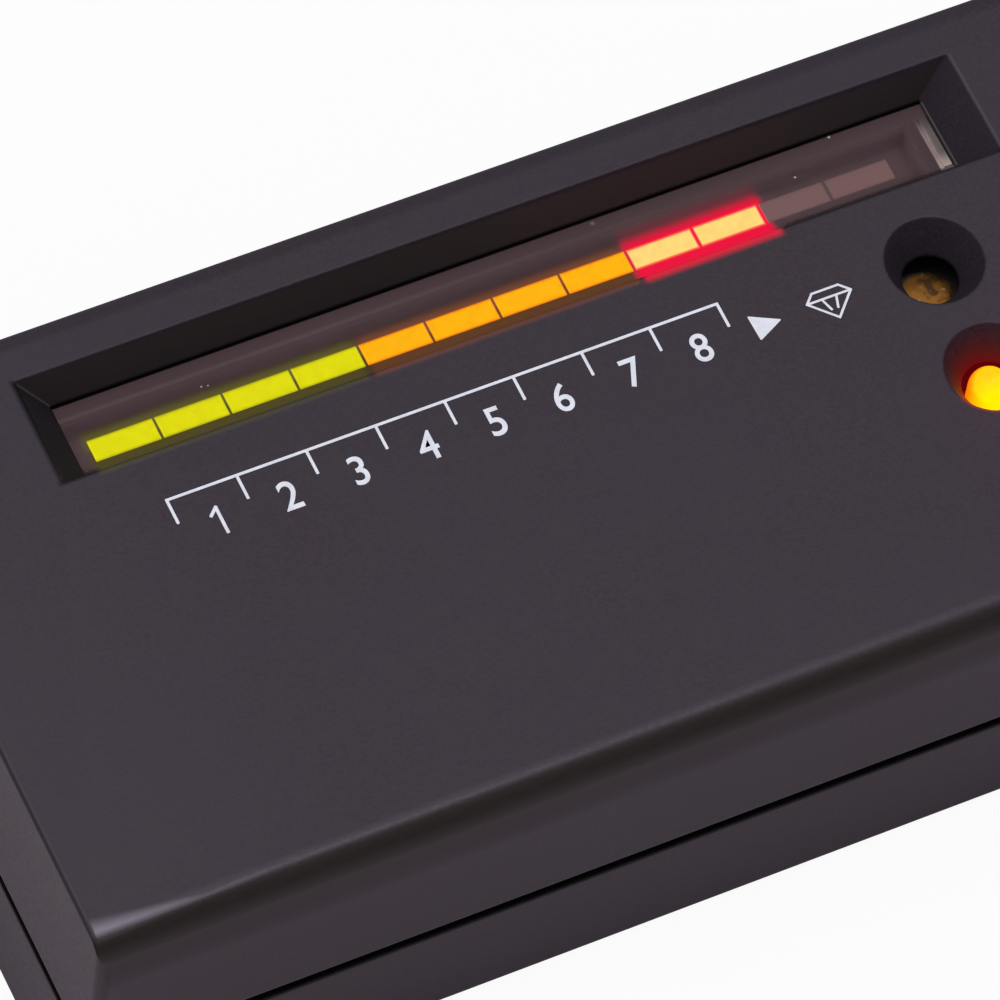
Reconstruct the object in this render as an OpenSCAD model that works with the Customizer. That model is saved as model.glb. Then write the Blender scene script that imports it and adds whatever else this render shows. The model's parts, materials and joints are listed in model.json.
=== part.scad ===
// Hand-held gemstone tester: a two-part moulded case with a lit bar display behind a sunk
// window, a ready lamp, a sounder, a thumbwheel at the far side and a sprung probe at the front.
// Millimetres. The origin is the middle of the case's underside: +X runs to the probe, +Y to the
// display side and +Z up.

/* [Case] */
// Length of the case, without the nose
body_l = 126; // [122:1:138]
// Width of the case
body_w = 46; // [45:0.5:52]
// Height of the case
body_h = 26.5; // [26:0.5:31]
// Thickness of the side walls
wall = 2.2; // [1.9:0.1:2.5]
// Thickness of the top wall
top_t = 2.6; // [2.2:0.1:2.8]
// Thickness of the base wall and of the battery door
base_t = 2; // [1.7:0.1:2.3]
// Radius of the long top edges
top_r = 2; // [0.6:0.1:2.6]
// Radius of the long base edges
base_r = 0.8; // [0.3:0.1:1.4]
// Radius of the upright corners at the tail
corner_r = 0.5; // [0.2:0.1:1.5]
// Bevel on the top edges of the end faces
end_bevel = 0.3; // [0.1:0.1:0.8]
// Height of the middle of the parting groove
split_z = 11.4; // [10.4:0.1:12]
// Height of the parting groove
groove_h = 0.9; // [0.4:0.1:1.2]
// Thickness of the lip behind the parting groove
lip_t = 1; // [0.8:0.1:1.2]
// Height of the lip inside the upper half
lip_h = 1.4; // [1:0.1:1.6]
// Length of the tapered front end
taper_l = 14; // [10:1:16]
// Width of the front face
front_w = 22; // [20:1:28]

/* [Display] */
// Distance from the tail to the display recess
recess_x = 12; // [11.6:0.1:13]
// Length of the recess at the top face
recess_l = 70.3; // [69:0.1:72]
// Distance from the far side to the recess
recess_y = 4.2; // [4:0.1:5]
// Width of the recess at the top face
recess_w = 8.5; // [8:0.1:9]
// Depth of the recess
recess_d = 2.9; // [2.7:0.1:3.1]
// Run of the recess's sloped ends
end_slope = 2.4; // [1:0.1:2.6]
// Run of the recess's sloped sides
side_slope = 1.2; // [0.5:0.1:1.4]
// Thickness of the window
window_t = 1.2; // [1:0.1:1.4]
// Reach of the window under the edge of the recess
window_lap = 1.5; // [1:0.1:1.8]
// Thickness of the rim that is moulded round the window
rim_t = 1.2; // [0.8:0.1:1.4]
// Thickness of the tape that holds the window
tape_t = 0.15; // [0.1:0.05:0.3]
// Width of the tape
tape_w = 4.2; // [3:0.1:5]
// Length of tape that shows past the edge at the front end
tape_show = 0.7; // [0.2:0.1:1]

/* [Lamps] */
// Lamps of each colour in the bar
led_each = 4; // [3:1:4]
// Distance from the tail to the first lamp of the bar
led_x = 16; // [15.8:0.1:16.4]
// Distance from the far side to the middle of the bar
led_y = 8.8; // [8.4:0.1:9.2]
// Pitch of the lamps in the bar
led_pitch = 5.05; // [5:0.01:5.1]
// Length of a bar lamp
led_l = 4.7; // [4.4:0.05:4.75]
// Width of a bar lamp
led_w = 1.7; // [1.4:0.1:2]
// Height of a bar lamp
led_h = 7; // [6.6:0.1:7.2]
// Width of a lamp's leg
leg_w = 0.5; // [0.4:0.05:0.6]
// Distance between a lamp's two legs
leg_gap = 2.54; // [2.2:0.02:2.6]
// Length of a leg below the board
leg_below = 1.2; // [0.5:0.1:1.6]
// Width of the holder round the bar lamps
holder_w = 7; // [6.2:0.1:7.2]
// Length of the holder past the lamps at each end
holder_end = 3; // [2.4:0.1:3.1]
// Diameter of the ready lamp
lamp_d = 3; // [2.6:0.1:3.2]
// Height of the ready lamp from its foot to the crown
lamp_h = 5.3; // [4.8:0.1:5.6]
// Depth of the lamp's crown below the top face
lamp_sink = 1.3; // [1:0.1:1.8]
// Height of the ready lamp's foot ring
lamp_foot = 1; // [0.6:0.1:1.2]
// Wall of the tube that the ready lamp stands on
spacer_t = 0.5; // [0.4:0.1:0.7]

/* [Lamp and sound holes] */
// Distance from the tail to the two holes
hole_x = 74; // [73:0.1:75]
// Distance from the far side to the sound hole
sound_y = 19; // [18.8:0.1:19.6]
// Distance from the far side to the lamp hole
lamp_y = 28.15; // [27.8:0.05:29]
// Diameter of the holes at the top face
hole_d = 7; // [6:0.1:7.6]
// Diameter of the holes at the inner face
throat_d = 3.9; // [3.6:0.1:4.4]
// Diameter of the sounder's disc
sounder_d = 11; // [10:0.1:11.2]
// Thickness of the sounder's disc
sounder_t = 0.3; // [0.2:0.05:0.5]
// Diameter of the ceramic layer on the disc
ceramic_d = 8.5; // [7:0.1:9]
// Thickness of the ceramic layer
ceramic_t = 0.3; // [0.2:0.05:0.5]
// Height of the sound chamber
chamber_h = 2.2; // [1.6:0.1:2.6]
// Thickness of the chamber's ring wall
chamber_t = 1; // [0.8:0.1:1.4]

/* [Board] */
// Thickness of the circuit board
board_t = 1.6; // [1.2:0.1:1.8]
// Clearance round the board
board_gap = 0.5; // [0.3:0.1:0.8]
// Diameter of the board's leg holes
leg_hole_d = 1; // [0.9:0.05:1.2]
// Diameter of the board bosses
board_boss_d = 5; // [4.4:0.1:5.6]
// Diameter of the board screws
board_screw_d = 2.2; // [1.8:0.1:2.4]
// Length of the board screws below the head
board_screw_l = 7; // [5:0.5:8]
// Diameter of the board screws' heads
board_head_d = 4.2; // [3.6:0.1:4.6]
// Height of the board screws' heads
board_head_h = 1.4; // [1:0.1:1.6]

/* [Case screws] */
// Distance from the sides to the case screws
screw_in = 6.5; // [6.2:0.1:7]
// Distance from the front face to the two front screws
front_screw_in = 9; // [8.6:0.1:9.4]
// Diameter of the case screws
screw_d = 2.6; // [2.2:0.1:2.9]
// Length of the case screws below the head
screw_l = 13; // [10:0.5:15]
// Diameter of the case screws' heads
head_d = 4.8; // [4.2:0.1:5]
// Height of the case screws' heads
head_h = 1.8; // [1.4:0.1:2.2]
// Depth of the screw wells in the base
well_d = 5; // [4:0.1:6]
// Diameter of the case bosses
boss_d = 6.6; // [6.2:0.1:7]

/* [Thumbwheel] */
// Distance from the front face to the wheel's axis
wheel_x = 24; // [23.5:0.5:26]
// Diameter of the wheel
wheel_d = 20; // [18:0.5:21]
// Thickness of the wheel
wheel_t = 2.8; // [2.2:0.1:3]
// How far the wheel stands out of the far side
wheel_out = 2; // [1.2:0.1:2.2]
// Number of flutes round the wheel
flutes = 48; // [36:1:60]
// Radius of a flute
flute_r = 0.4; // [0.3:0.05:0.5]
// Room round the wheel in its slot
slot_room = 0.5; // [0.4:0.1:0.7]
// Diameter of the wheel's control body
pot_d = 9.4; // [8.6:0.1:9.6]
// Height of the control body
pot_h = 3.5; // [3.2:0.1:3.7]
// Diameter of the control's shaft
shaft_d = 4; // [3.4:0.1:4.6]
// Diameter of the shaft inside the wheel
spigot_d = 3; // [2.4:0.1:3.2]
// Diameter of the wheel screw
wheel_screw_d = 1.6; // [1.2:0.1:2]
// Diameter of the wheel screw's head
wheel_head_d = 4.4; // [3.8:0.1:5]
// Height of the wheel screw's head
wheel_head_h = 1; // [0.8:0.1:1.2]

/* [Battery] */
// Length of the battery without its terminals
bat_l = 45.6; // [45:0.1:46.4]
// Width of the battery
bat_w = 26.5; // [26:0.1:26.6]
// Height of the battery as it lies
bat_h = 17.5; // [16.8:0.1:17.6]
// Radius of the battery's long edges
bat_r = 2; // [1:0.1:3]
// Height of the battery's terminals
terminal_h = 2.9; // [2.6:0.1:3.2]
// Diameter of the stud terminal
stud_d = 5.7; // [5.2:0.1:5.8]
// Diameter of the socket terminal
socket_d = 8; // [7.4:0.1:8.4]
// Distance between the terminals
terminal_gap = 12.7; // [12:0.1:13]
// Clearance round the battery
bat_gap = 0.3; // [0.2:0.05:0.35]
// Thickness of the battery box's walls
box_t = 1.3; // [1:0.1:1.4]
// Thickness of the snap connector's cap
snap_t = 2.2; // [1.8:0.1:2.6]
// Length of the snap connector's cap
snap_l = 25; // [24:0.1:26]
// Width of the snap connector's cap
snap_w = 12.4; // [11:0.1:12.6]
// Room behind the snap connector for its leads
lead_room = 2.6; // [2.4:0.1:3]
// Diameter of the battery leads
lead_d = 1.3; // [1:0.1:1.4]

/* [Battery door] */
// Clearance round the battery door
door_gap = 0.2; // [0.15:0.05:0.3]
// Depth of the door's face inside the base
door_sink = 0.1; // [0.05:0.05:0.2]
// Distance from the door's pivot to the end of the battery box
pivot_in = 3.2; // [3:0.1:3.6]
// Thickness of the door's hooks
hook_t = 1; // [0.8:0.1:1.1]
// Reach of the hooks past the pivot
hook_l = 2.2; // [1.8:0.1:2.4]
// Width of a hook
hook_w = 4; // [3:0.1:5]
// Width of the thumb tongue
tongue_w = 11; // [9:0.5:13]
// Length of the thumb tongue
tongue_l = 8; // [6:0.5:10]
// Width of the slits beside the tongue
slit_w = 0.7; // [0.5:0.1:1]
// Number of grip ribs on the tongue
grip_ribs = 4; // [3:1:5]
// Depth of the grip
grip_d = 0.6; // [0.3:0.1:0.8]

/* [Nose and probe] */
// Diameter of the nose's flange
flange_d = 15; // [14:0.1:16]
// Thickness of the nose's flange
flange_t = 2; // [1.5:0.1:2.5]
// Diameter of the nose's neck in the case
neck_d = 10.4; // [9.6:0.1:10.8]
// Diameter of the collar that a cap pushes on
collar_d = 13; // [12.4:0.1:14]
// Length of the collar
collar_l = 6; // [5:0.1:7]
// Diameter of the cone where it meets the collar
cone_d = 11.4; // [10:0.1:12]
// Diameter of the cone's tip
cone_tip_d = 5.6; // [5:0.1:6.4]
// Length of the cone
cone_l = 11; // [9:0.1:13]
// Length of the barrel behind the flange
barrel_l = 9; // [8.8:0.1:9.6]
// Diameter of the barrel
barrel_d = 10; // [9:0.1:11]
// Diameter of the plunger
plunger_d = 6; // [5.6:0.1:6.4]
// Length of the plunger
plunger_l = 8; // [7.6:0.1:8.4]
// Diameter of the probe's sleeve
sleeve_d = 3.1; // [2.8:0.1:3.4]
// How far the sleeve stands out of the cone
sleeve_out = 6; // [5:0.1:8]
// Length of sleeve held in the plunger
sleeve_in = 3; // [2.4:0.1:3.4]
// Diameter of the probe's tip
tip_d = 1.6; // [1.2:0.1:1.8]
// How far the tip stands out of the sleeve
tip_out = 5.9; // [4:0.1:7]
// Diameter of the heater behind the tip
heater_d = 3.6; // [3:0.1:4]
// Length of the heater
heater_l = 2.8; // [2.4:0.1:3]
// Thickness of the spring's plug
plug_t = 2.2; // [1.8:0.1:2.4]
// Diameter of the wire hole in the plug
plug_hole_d = 2.6; // [2.4:0.1:3]
// Turns of the probe's spring
spring_turns = 5; // [4:1:5]
// Diameter of the spring's wire
spring_wire = 0.6; // [0.4:0.05:0.65]
// Mean diameter of the spring
spring_d = 4.6; // [4.2:0.1:4.8]
// Radial clearance of the sliding and turning fits
run_fit = 0.06; // [0.03:0.01:0.09]
// Travel of the probe
probe_travel = 1.5; // [1:0.1:1.6]

/* [Hidden] */
$fn = 64;

case_colour = [0.07, 0.065, 0.075];
copper = [0.72, 0.42, 0.27];
brass = [0.75, 0.58, 0.25];
steel = [0.72, 0.72, 0.74];

// Overlap that makes a cut or a union run past a face
over = 1;
// Clearance of pieces that are pressed or glued together
press_fit = 0.02;
// Clearance of pieces that only lie beside each other
loose_fit = 0.15;

// Outer and inner faces of the case
tail = -body_l / 2;
front = body_l / 2;
near = -body_w / 2;
far = body_w / 2;
in_tail = tail + wall;
in_near = near + wall;
in_far = far - wall;
in_top = body_h - top_t;
in_front = front - wall;
upper_z = split_z + groove_h / 2;
lower_z = split_z - groove_h / 2;
lip_z = upper_z + lip_h;

// Sloping sides of the front end
taper_x = front - taper_l;
taper_m = -(body_w - front_w) / 2 / taper_l;
taper_run = sqrt(1 + taper_m * taper_m);

// Window and its recess
floor_x0 = tail + recess_x + end_slope;
floor_x1 = tail + recess_x + recess_l - end_slope;
floor_y0 = far - recess_y - recess_w + side_slope;
floor_y1 = far - recess_y - side_slope;
floor_z = body_h - recess_d;
window_z = floor_z - tape_t - window_t;

// Bar lamps, which end just under the window
led_gap = 0.2;
led_z1 = window_z - led_gap;
led_z0 = led_z1 - led_h;
led_row_y = far - led_y;
led_count = 3 * led_each;

// Circuit board, which the bar lamps stand on
board_z1 = led_z0;
board_z0 = board_z1 - board_t;

// Battery box
bat_x = in_tail + bat_gap;
bat_y = in_near + bat_gap;
bat_z = base_t + bat_gap;
bat_mid_y = bat_y + bat_w / 2;
bat_mid_z = bat_z + bat_h / 2;
terminal_x = bat_x + bat_l;
snap_x = terminal_x + terminal_h + loose_fit;
box_x = snap_x + snap_t + lead_room;
box_y = bat_y + bat_w + bat_gap;
box_z = bat_z + bat_h + bat_gap;
box_roof = min(box_z + box_t, in_top - loose_fit);

// Nose and probe, on one axis at the height of the parting groove
probe_z = split_z;
nose_play = 0.1;
flange_x = in_front - nose_play;
collar_x = front + nose_play;
cone_x = collar_x + collar_l;
nose_x1 = cone_x + cone_l;
barrel_x = flange_x - flange_t - barrel_l;
shoulder_x = collar_x + 4;
plunger_x1 = shoulder_x - nose_play;
plunger_x0 = plunger_x1 - plunger_l;
sleeve_x0 = plunger_x1 - sleeve_in;
sleeve_x1 = nose_x1 + sleeve_out;
tip_x1 = sleeve_x1 + tip_out;
tip_x0 = plunger_x0 + heater_l + loose_fit;
bore_r = plunger_d / 2 + run_fit;
spring_x0 = barrel_x + plug_t;

// Board outline
strip_x = tail + screw_in + boss_d / 2 + board_gap;
strip_y = box_y + box_t + board_gap;
board_x0 = box_x + box_t + board_gap;
board_x1 = min(barrel_x, taper_x) - 2 * board_gap;
board_y0 = in_near + board_gap;
board_y1 = in_far - board_gap;
boss_room = boss_d / 2 + board_gap;

// Screws, from the underside: the front pair stands beside the nose, clear of the sloping walls
boss_clear = 0.5;
front_screw_x = front - front_screw_in;
front_screw_y = body_w / 2 + taper_m * (front_screw_x - taper_x)
    - (wall + boss_clear + boss_d / 2) * taper_run;
screw_places = [
    [tail + screw_in, far - screw_in],
    [board_x0 + boss_d / 2, near + screw_in],
    [front_screw_x, -front_screw_y],
    [front_screw_x, front_screw_y]
];
board_boss_in = 3.8;
board_boss_far = 17.5;
board_boss_back = 4.5;
board_places = [
    [board_x0 + board_boss_in, far - board_boss_far],
    [tail + hole_x - board_boss_back, board_y0 + board_boss_in],
    [board_x1 - board_boss_in, board_y0 + board_boss_in]
];

// Two holes in the top, with the sounder and the lamp under them
hole_px = tail + hole_x;
sound_py = far - sound_y;
lamp_py = far - lamp_y;
sounder_z = in_top - chamber_h - sounder_t;
lamp_z1 = body_h - lamp_sink;
lamp_z0 = lamp_z1 - lamp_h;
lamp_foot_d = lamp_d + 0.8;

// Thumbwheel on its control
wheel_px = front - wheel_x;
wheel_py = far + wheel_out - wheel_d / 2;
wheel_lift = 0.35;
wheel_z = board_z1 + pot_h + wheel_lift;
slot_half = sqrt(pow(wheel_d / 2, 2) - pow(in_far - wheel_py, 2)) + slot_room;
shaft_floor = 0.5;
wheel_screw_l = 3.2;

// Battery door
pivot_x = box_x - pivot_in;
pivot_z = (base_t + door_sink) / 2;
door_r = (base_t - door_sink) / 2;
door_x0 = in_tail + door_gap;
door_y0 = in_near + door_gap;
door_y1 = box_y - door_gap;

// Extrusion of a profile drawn in Y and Z, along X
module along_x(x0, x1) {
    translate([x0, 0, 0]) rotate([90, 0, 90]) linear_extrude(x1 - x0) children();
}

// Extrusion of a profile drawn in X and Z, along Y
module along_y(y0, y1) {
    translate([0, y1, 0]) rotate([90, 0, 0]) linear_extrude(y1 - y0) children();
}

// Turned piece about the probe's axis, from a profile of radius and X
module turned() {
    translate([0, 0, probe_z]) rotate([0, 90, 0]) rotate_extrude() children();
}

// Round bar about the probe's axis
module probe_bar(x0, x1, r) {
    translate([x0, 0, probe_z]) rotate([0, 90, 0]) cylinder(h = x1 - x0, r = r);
}

// Box between two corners
module block(low, high) {
    translate(low) cube(high - low);
}

// Upright cylinder between two heights
module post(place, z0, z1, r) {
    translate([place[0], place[1], z0]) cylinder(h = z1 - z0, r = r);
}

// Rectangle whose corners are arcs
module round_square(low, high, r) {
    union() {
        translate([low[0] + r, low[1]]) square([high[0] - low[0] - 2 * r, high[1] - low[1]]);
        translate([low[0], low[1] + r]) square([high[0] - low[0], high[1] - low[1] - 2 * r]);
        for (x = [low[0] + r, high[0] - r], y = [low[1] + r, high[1] - r])
            translate([x, y]) circle(r);
    }
}

// Plan of the case, set in from its outside, with rounded corners at the tail
module plan(inset, r) {
    side = body_w / 2 - inset;
    bend_x = taper_x + inset * (taper_run - 1) / taper_m;
    nose_side = body_w / 2 + taper_m * (front - inset - taper_x) - inset * taper_run;
    end = tail + inset;
    union() {
        polygon([[end, -side + r], [end + r, -side], [bend_x, -side], [front - inset, -nose_side],
            [front - inset, nose_side], [bend_x, side], [end + r, side], [end, side - r]]);
        for (y = [-side + r, side - r])
            translate([end + r, y]) circle(r);
    }
}

module plan_block(inset, z0, z1) {
    translate([0, 0, z0]) linear_extrude(z1 - z0) plan(inset, corner_r);
}

// Outer form of the upper half
module upper_form() {
    intersection() {
        plan_block(0, upper_z, body_h);
        along_x(tail, front) union() {
            translate([near, 0]) square([body_w, body_h - top_r]);
            translate([near + top_r, 0]) square([body_w - 2 * top_r, body_h]);
            for (y = [near + top_r, far - top_r])
                translate([y, body_h - top_r]) circle(top_r);
        }
        along_y(near, far) polygon([[tail, 0], [front, 0], [front, body_h - end_bevel],
            [front - end_bevel, body_h], [tail + end_bevel, body_h], [tail, body_h - end_bevel]]);
    }
}

// Outer form of the lower half
module lower_form() {
    intersection() {
        plan_block(0, 0, lower_z);
        along_x(tail, front) union() {
            translate([near, base_r]) square([body_w, lower_z]);
            translate([near + base_r, 0]) square([body_w - 2 * base_r, lower_z]);
            for (y = [near + base_r, far - base_r])
                translate([y, base_r]) circle(base_r);
        }
    }
}

// Sunk frame round the display: sloped on all four sides
module recess() {
    top_z = body_h + over;
    spread = over / recess_d;
    end_run = end_slope * spread;
    side_run = side_slope * spread;
    rim_x0 = tail + recess_x - end_run;
    rim_x1 = tail + recess_x + recess_l + end_run;
    rim_y0 = far - recess_y - recess_w - side_run;
    rim_y1 = far - recess_y + side_run;
    intersection() {
        along_y(rim_y0 - over, rim_y1 + over)
            polygon([[floor_x0, floor_z], [floor_x1, floor_z], [rim_x1, top_z], [rim_x0, top_z]]);
        along_x(rim_x0 - over, rim_x1 + over)
            polygon([[floor_y0, floor_z], [floor_y1, floor_z], [rim_y1, top_z], [rim_y0, top_z]]);
    }
}

// Space under the recess that the window lies in
module window_pocket() {
    reach = window_lap + loose_fit;
    block([floor_x0 - reach, floor_y0 - reach, window_z - over],
        [floor_x1 + reach, min(floor_y1 + reach, in_far), floor_z]);
}

// Funnel through the top wall
module funnel(place) {
    slope = (hole_d - throat_d) / 2 / top_t;
    translate([place[0], place[1], in_top])
        cylinder(h = top_t + over, d1 = throat_d, d2 = hole_d + 2 * over * slope);
    post(place, in_top - chamber_h - over, in_top + over / 2, throat_d / 2);
}

// Way through the front wall for the nose's neck
module neck_way() {
    probe_bar(in_front - over, front + over, neck_d / 2 + nose_play);
}

module upper_case() {
    rim_reach = window_lap + loose_fit + rim_t;
    color(case_colour) difference() {
        union() {
            difference() {
                upper_form();
                plan_block(wall, upper_z - over, in_top);
                plan_block(wall - lip_t - loose_fit, upper_z - over, lip_z + loose_fit);
            }
            block([floor_x0 - rim_reach, floor_y0 - rim_reach, window_z],
                [floor_x1 + rim_reach, min(floor_y1 + rim_reach, in_far + over / 2), in_top + over / 2]);
            post([hole_px, sound_py], in_top - chamber_h, in_top + over / 2, sounder_d / 2 + loose_fit);
            for (place = screw_places)
                post(place, split_z, in_top + over / 2, boss_d / 2);
            for (place = board_places)
                post(place, board_z1, in_top + over / 2, board_boss_d / 2);
        }
        recess();
        window_pocket();
        post([hole_px, sound_py], in_top - chamber_h - over, in_top, sounder_d / 2 - chamber_t);
        funnel([hole_px, sound_py]);
        funnel([hole_px, lamp_py]);
        for (place = screw_places)
            post(place, split_z - over, well_d + screw_l + over, screw_d / 2 + press_fit);
        for (place = board_places)
            post(place, board_z1 - over, board_z0 + board_screw_l + over / 2, board_screw_d / 2 + press_fit);
        block([wheel_px - slot_half, in_far - over, wheel_z - slot_room],
            [wheel_px + slot_half, far + over, wheel_z + wheel_t + slot_room]);
        neck_way();
    }
}

module lower_case() {
    color(case_colour) difference() {
        union() {
            difference() {
                lower_form();
                plan_block(wall, base_t, lower_z + over);
            }
            difference() {
                plan_block(wall - lip_t, lower_z - over, lip_z);
                plan_block(wall, lower_z - 2 * over, lip_z + over);
            }
            // Side, end and roof of the battery box
            block([in_tail + loose_fit, box_y, base_t - over / 2], [box_x + box_t, box_y + box_t, box_roof]);
            block([box_x, in_near + loose_fit, base_t - over / 2], [box_x + box_t, box_y + box_t, box_roof]);
            block([in_tail + loose_fit, in_near + loose_fit, box_z], [box_x + box_t, box_y + box_t, box_roof]);
            for (place = screw_places)
                post(place, base_t - over / 2, split_z, boss_d / 2);
        }
        block([in_tail, in_near, -over], [pivot_x + door_r + door_gap, box_y, base_t + over / 2]);
        for (place = screw_places) {
            post(place, -over, well_d, head_d / 2 + loose_fit);
            post(place, well_d - over, split_z + over, screw_d / 2 + loose_fit);
        }
        // Open corner of the battery box that its leads come out by
        block([box_x - over, lead_way_y, base_t], [box_x + box_t + over, box_y, box_z]);
        neck_way();
    }
}

// Pan-head screw standing on its head, with a cross recess
module screw(place, seat_z, d, l, head, head_t, up) {
    cross_w = head / 6;
    cross_l = head * 0.6;
    cross_t = head_t / 2;
    translate([place[0], place[1], seat_z]) mirror([0, 0, up ? 0 : 1]) difference() {
        union() {
            translate([0, 0, -head_t]) cylinder(h = head_t, d = head);
            translate([0, 0, -head_t / 2]) cylinder(h = l + head_t / 2, d = d);
        }
        for (turn = [0, 90])
            rotate(turn) translate([-cross_l / 2, -cross_w / 2, -head_t - over]) cube([cross_l, cross_w, cross_t + over]);
    }
}

module case_screws() {
    color(steel) for (place = screw_places)
        screw(place, well_d, screw_d, screw_l, head_d, head_h, true);
}

module board_screws() {
    color(steel) for (place = board_places)
        screw(place, board_z0, board_screw_d, board_screw_l, board_head_d, board_head_h, true);
}

module battery_door() {
    grip_pitch = tongue_l / (grip_ribs + 1);
    grip_w = grip_pitch / 2;
    mid_y = (door_y0 + door_y1) / 2;
    hook_z0 = base_t + door_gap;
    hook_from = pivot_x - hook_t - door_r;
    color(case_colour) difference() {
        union() {
            block([door_x0, door_y0, door_sink], [pivot_x, door_y1, base_t]);
            translate([pivot_x, door_y0, pivot_z]) rotate([-90, 0, 0]) cylinder(h = door_y1 - door_y0, r = door_r);
            for (y = [door_y0 + hook_w, door_y1 - 2 * hook_w]) {
                block([hook_from, y, base_t - door_r], [pivot_x, y + hook_w, hook_z0 + hook_t]);
                block([hook_from, y, hook_z0], [pivot_x + hook_l, y + hook_w, hook_z0 + hook_t]);
            }
        }
        for (y = [mid_y - tongue_w / 2 - slit_w, mid_y + tongue_w / 2])
            block([door_x0 - over, y, -over], [door_x0 + tongue_l, y + slit_w, base_t + over]);
        for (i = [1:grip_ribs])
            block([door_x0 + i * grip_pitch, mid_y - tongue_w / 2 + 1, -over],
                [door_x0 + i * grip_pitch + grip_w, mid_y + tongue_w / 2 - 1, door_sink + grip_d]);
    }
}

module display_window() {
    color([0.28, 0.2, 0.2, 0.6])
        block([floor_x0 - window_lap, floor_y0 - window_lap, window_z],
            [floor_x1 + window_lap, min(floor_y1 + window_lap, in_far - loose_fit), window_z + window_t]);
}

module window_tape() {
    y0 = led_row_y - tape_w / 2;
    y1 = led_row_y + tape_w / 2;
    color([0.75, 0.72, 0.68]) {
        block([floor_x0 - window_lap, y0, window_z + window_t], [floor_x0, y1, floor_z]);
        block([floor_x1 - tape_show, y0, window_z + window_t], [floor_x1 + window_lap, y1, floor_z]);
    }
}

// Bar lamps: place of the left end of lamp i
function led_px(i) = tail + led_x + i * led_pitch;

module led(i) {
    mid_x = led_px(i) + led_l / 2;
    block([led_px(i), led_row_y - led_w / 2, led_z0], [led_px(i) + led_l, led_row_y + led_w / 2, led_z1]);
    for (side = [-1, 1])
        translate([mid_x + side * leg_gap / 2 - leg_w / 2, led_row_y - leg_w / 2, board_z0 - leg_below])
            cube([leg_w, leg_w, board_t + leg_below + over / 2]);
}

module green_leds() {
    color([0.75, 0.85, 0.1]) for (i = [0:led_each - 1]) led(i);
}

module amber_leds() {
    color([1, 0.65, 0.1]) for (i = [led_each:2 * led_each - 1]) led(i);
}

module red_leds() {
    color([0.9, 0.15, 0.2]) for (i = [2 * led_each:3 * led_each - 1]) led(i);
}

module led_holder() {
    near_face = max(led_row_y - holder_w / 2, box_y + box_t + loose_fit);
    color([0.12, 0.1, 0.1]) difference() {
        block([led_px(0) - holder_end, near_face, board_z1],
            [led_px(led_count - 1) + led_l + holder_end, led_row_y + holder_w / 2, led_z1]);
        for (i = [0:led_count - 1])
            block([led_px(i) - press_fit, led_row_y - led_w / 2 - press_fit, board_z1 - over],
                [led_px(i) + led_l + press_fit, led_row_y + led_w / 2 + press_fit, led_z1 + over]);
    }
}

module ready_lamp() {
    r = lamp_d / 2;
    color([0.9, 0.2, 0.15]) {
        translate([hole_px, lamp_py, lamp_z0]) {
            cylinder(h = lamp_foot, d = lamp_foot_d);
            cylinder(h = lamp_h - r, r = r);
            translate([0, 0, lamp_h - r]) sphere(r);
        }
        for (side = [-1, 1])
            translate([hole_px + side * leg_gap / 2 - leg_w / 2, lamp_py - leg_w / 2, board_z0 - leg_below])
                cube([leg_w, leg_w, lamp_z0 - board_z0 + leg_below + lamp_foot / 2]);
    }
}

module lamp_spacer() {
    bore = leg_gap / 2 + leg_w / 2 + 0.2;
    color([0.85, 0.84, 0.8]) difference() {
        post([hole_px, lamp_py], board_z1, lamp_z0, bore + spacer_t);
        post([hole_px, lamp_py], board_z1 - over, lamp_z0 + over, bore);
    }
}

module sounder_disc() {
    color(brass) post([hole_px, sound_py], sounder_z, sounder_z + sounder_t, sounder_d / 2);
}

module sounder_ceramic() {
    color([0.9, 0.88, 0.82]) post([hole_px, sound_py], sounder_z - ceramic_t, sounder_z, ceramic_d / 2);
}

// Every hole that a leg goes through
module leg_hole(x, y) {
    post([x, y], board_z0 - over, board_z1 + over, leg_hole_d / 2);
}

module main_board() {
    color([0.12, 0.32, 0.2]) difference() {
        union() {
            block([strip_x, strip_y, board_z0], [board_x0 + over, board_y1, board_z1]);
            block([board_x0, board_y0, board_z0], [board_x1, board_y1, board_z1]);
        }
        // Corner that leaves room for the case boss beside the battery box
        block([board_x0 - over, board_y0 - over, board_z0 - over],
            [screw_places[1][0], screw_places[1][1], board_z1 + over] + boss_room * [1, 1, 0]);
        for (place = board_places)
            post(place, board_z0 - over, board_z1 + over, board_screw_d / 2 + loose_fit);
        for (side = [-1, 1]) {
            for (i = [0:led_count - 1])
                leg_hole(led_px(i) + led_l / 2 + side * leg_gap / 2, led_row_y);
            leg_hole(hole_px + side * leg_gap / 2, lamp_py);
        }
        for (x = pot_legs)
            leg_hole(wheel_px + x, wheel_py - pot_leg_in);
    }
}

// Dual in-line chip: pins is the number on each side
chip_w = 6.4;
chip_h = 3.3;
chip_stand = 0.5;
pin_pitch = 2.54;
pin_w = 0.5;
pin_reach = 3.8;
driver_pins = 8;
driver_edge = 0.6;
driver_in = 12.1;
amp_pins = 4;
amp_back = 7;
amp_in = 20.5;

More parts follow.
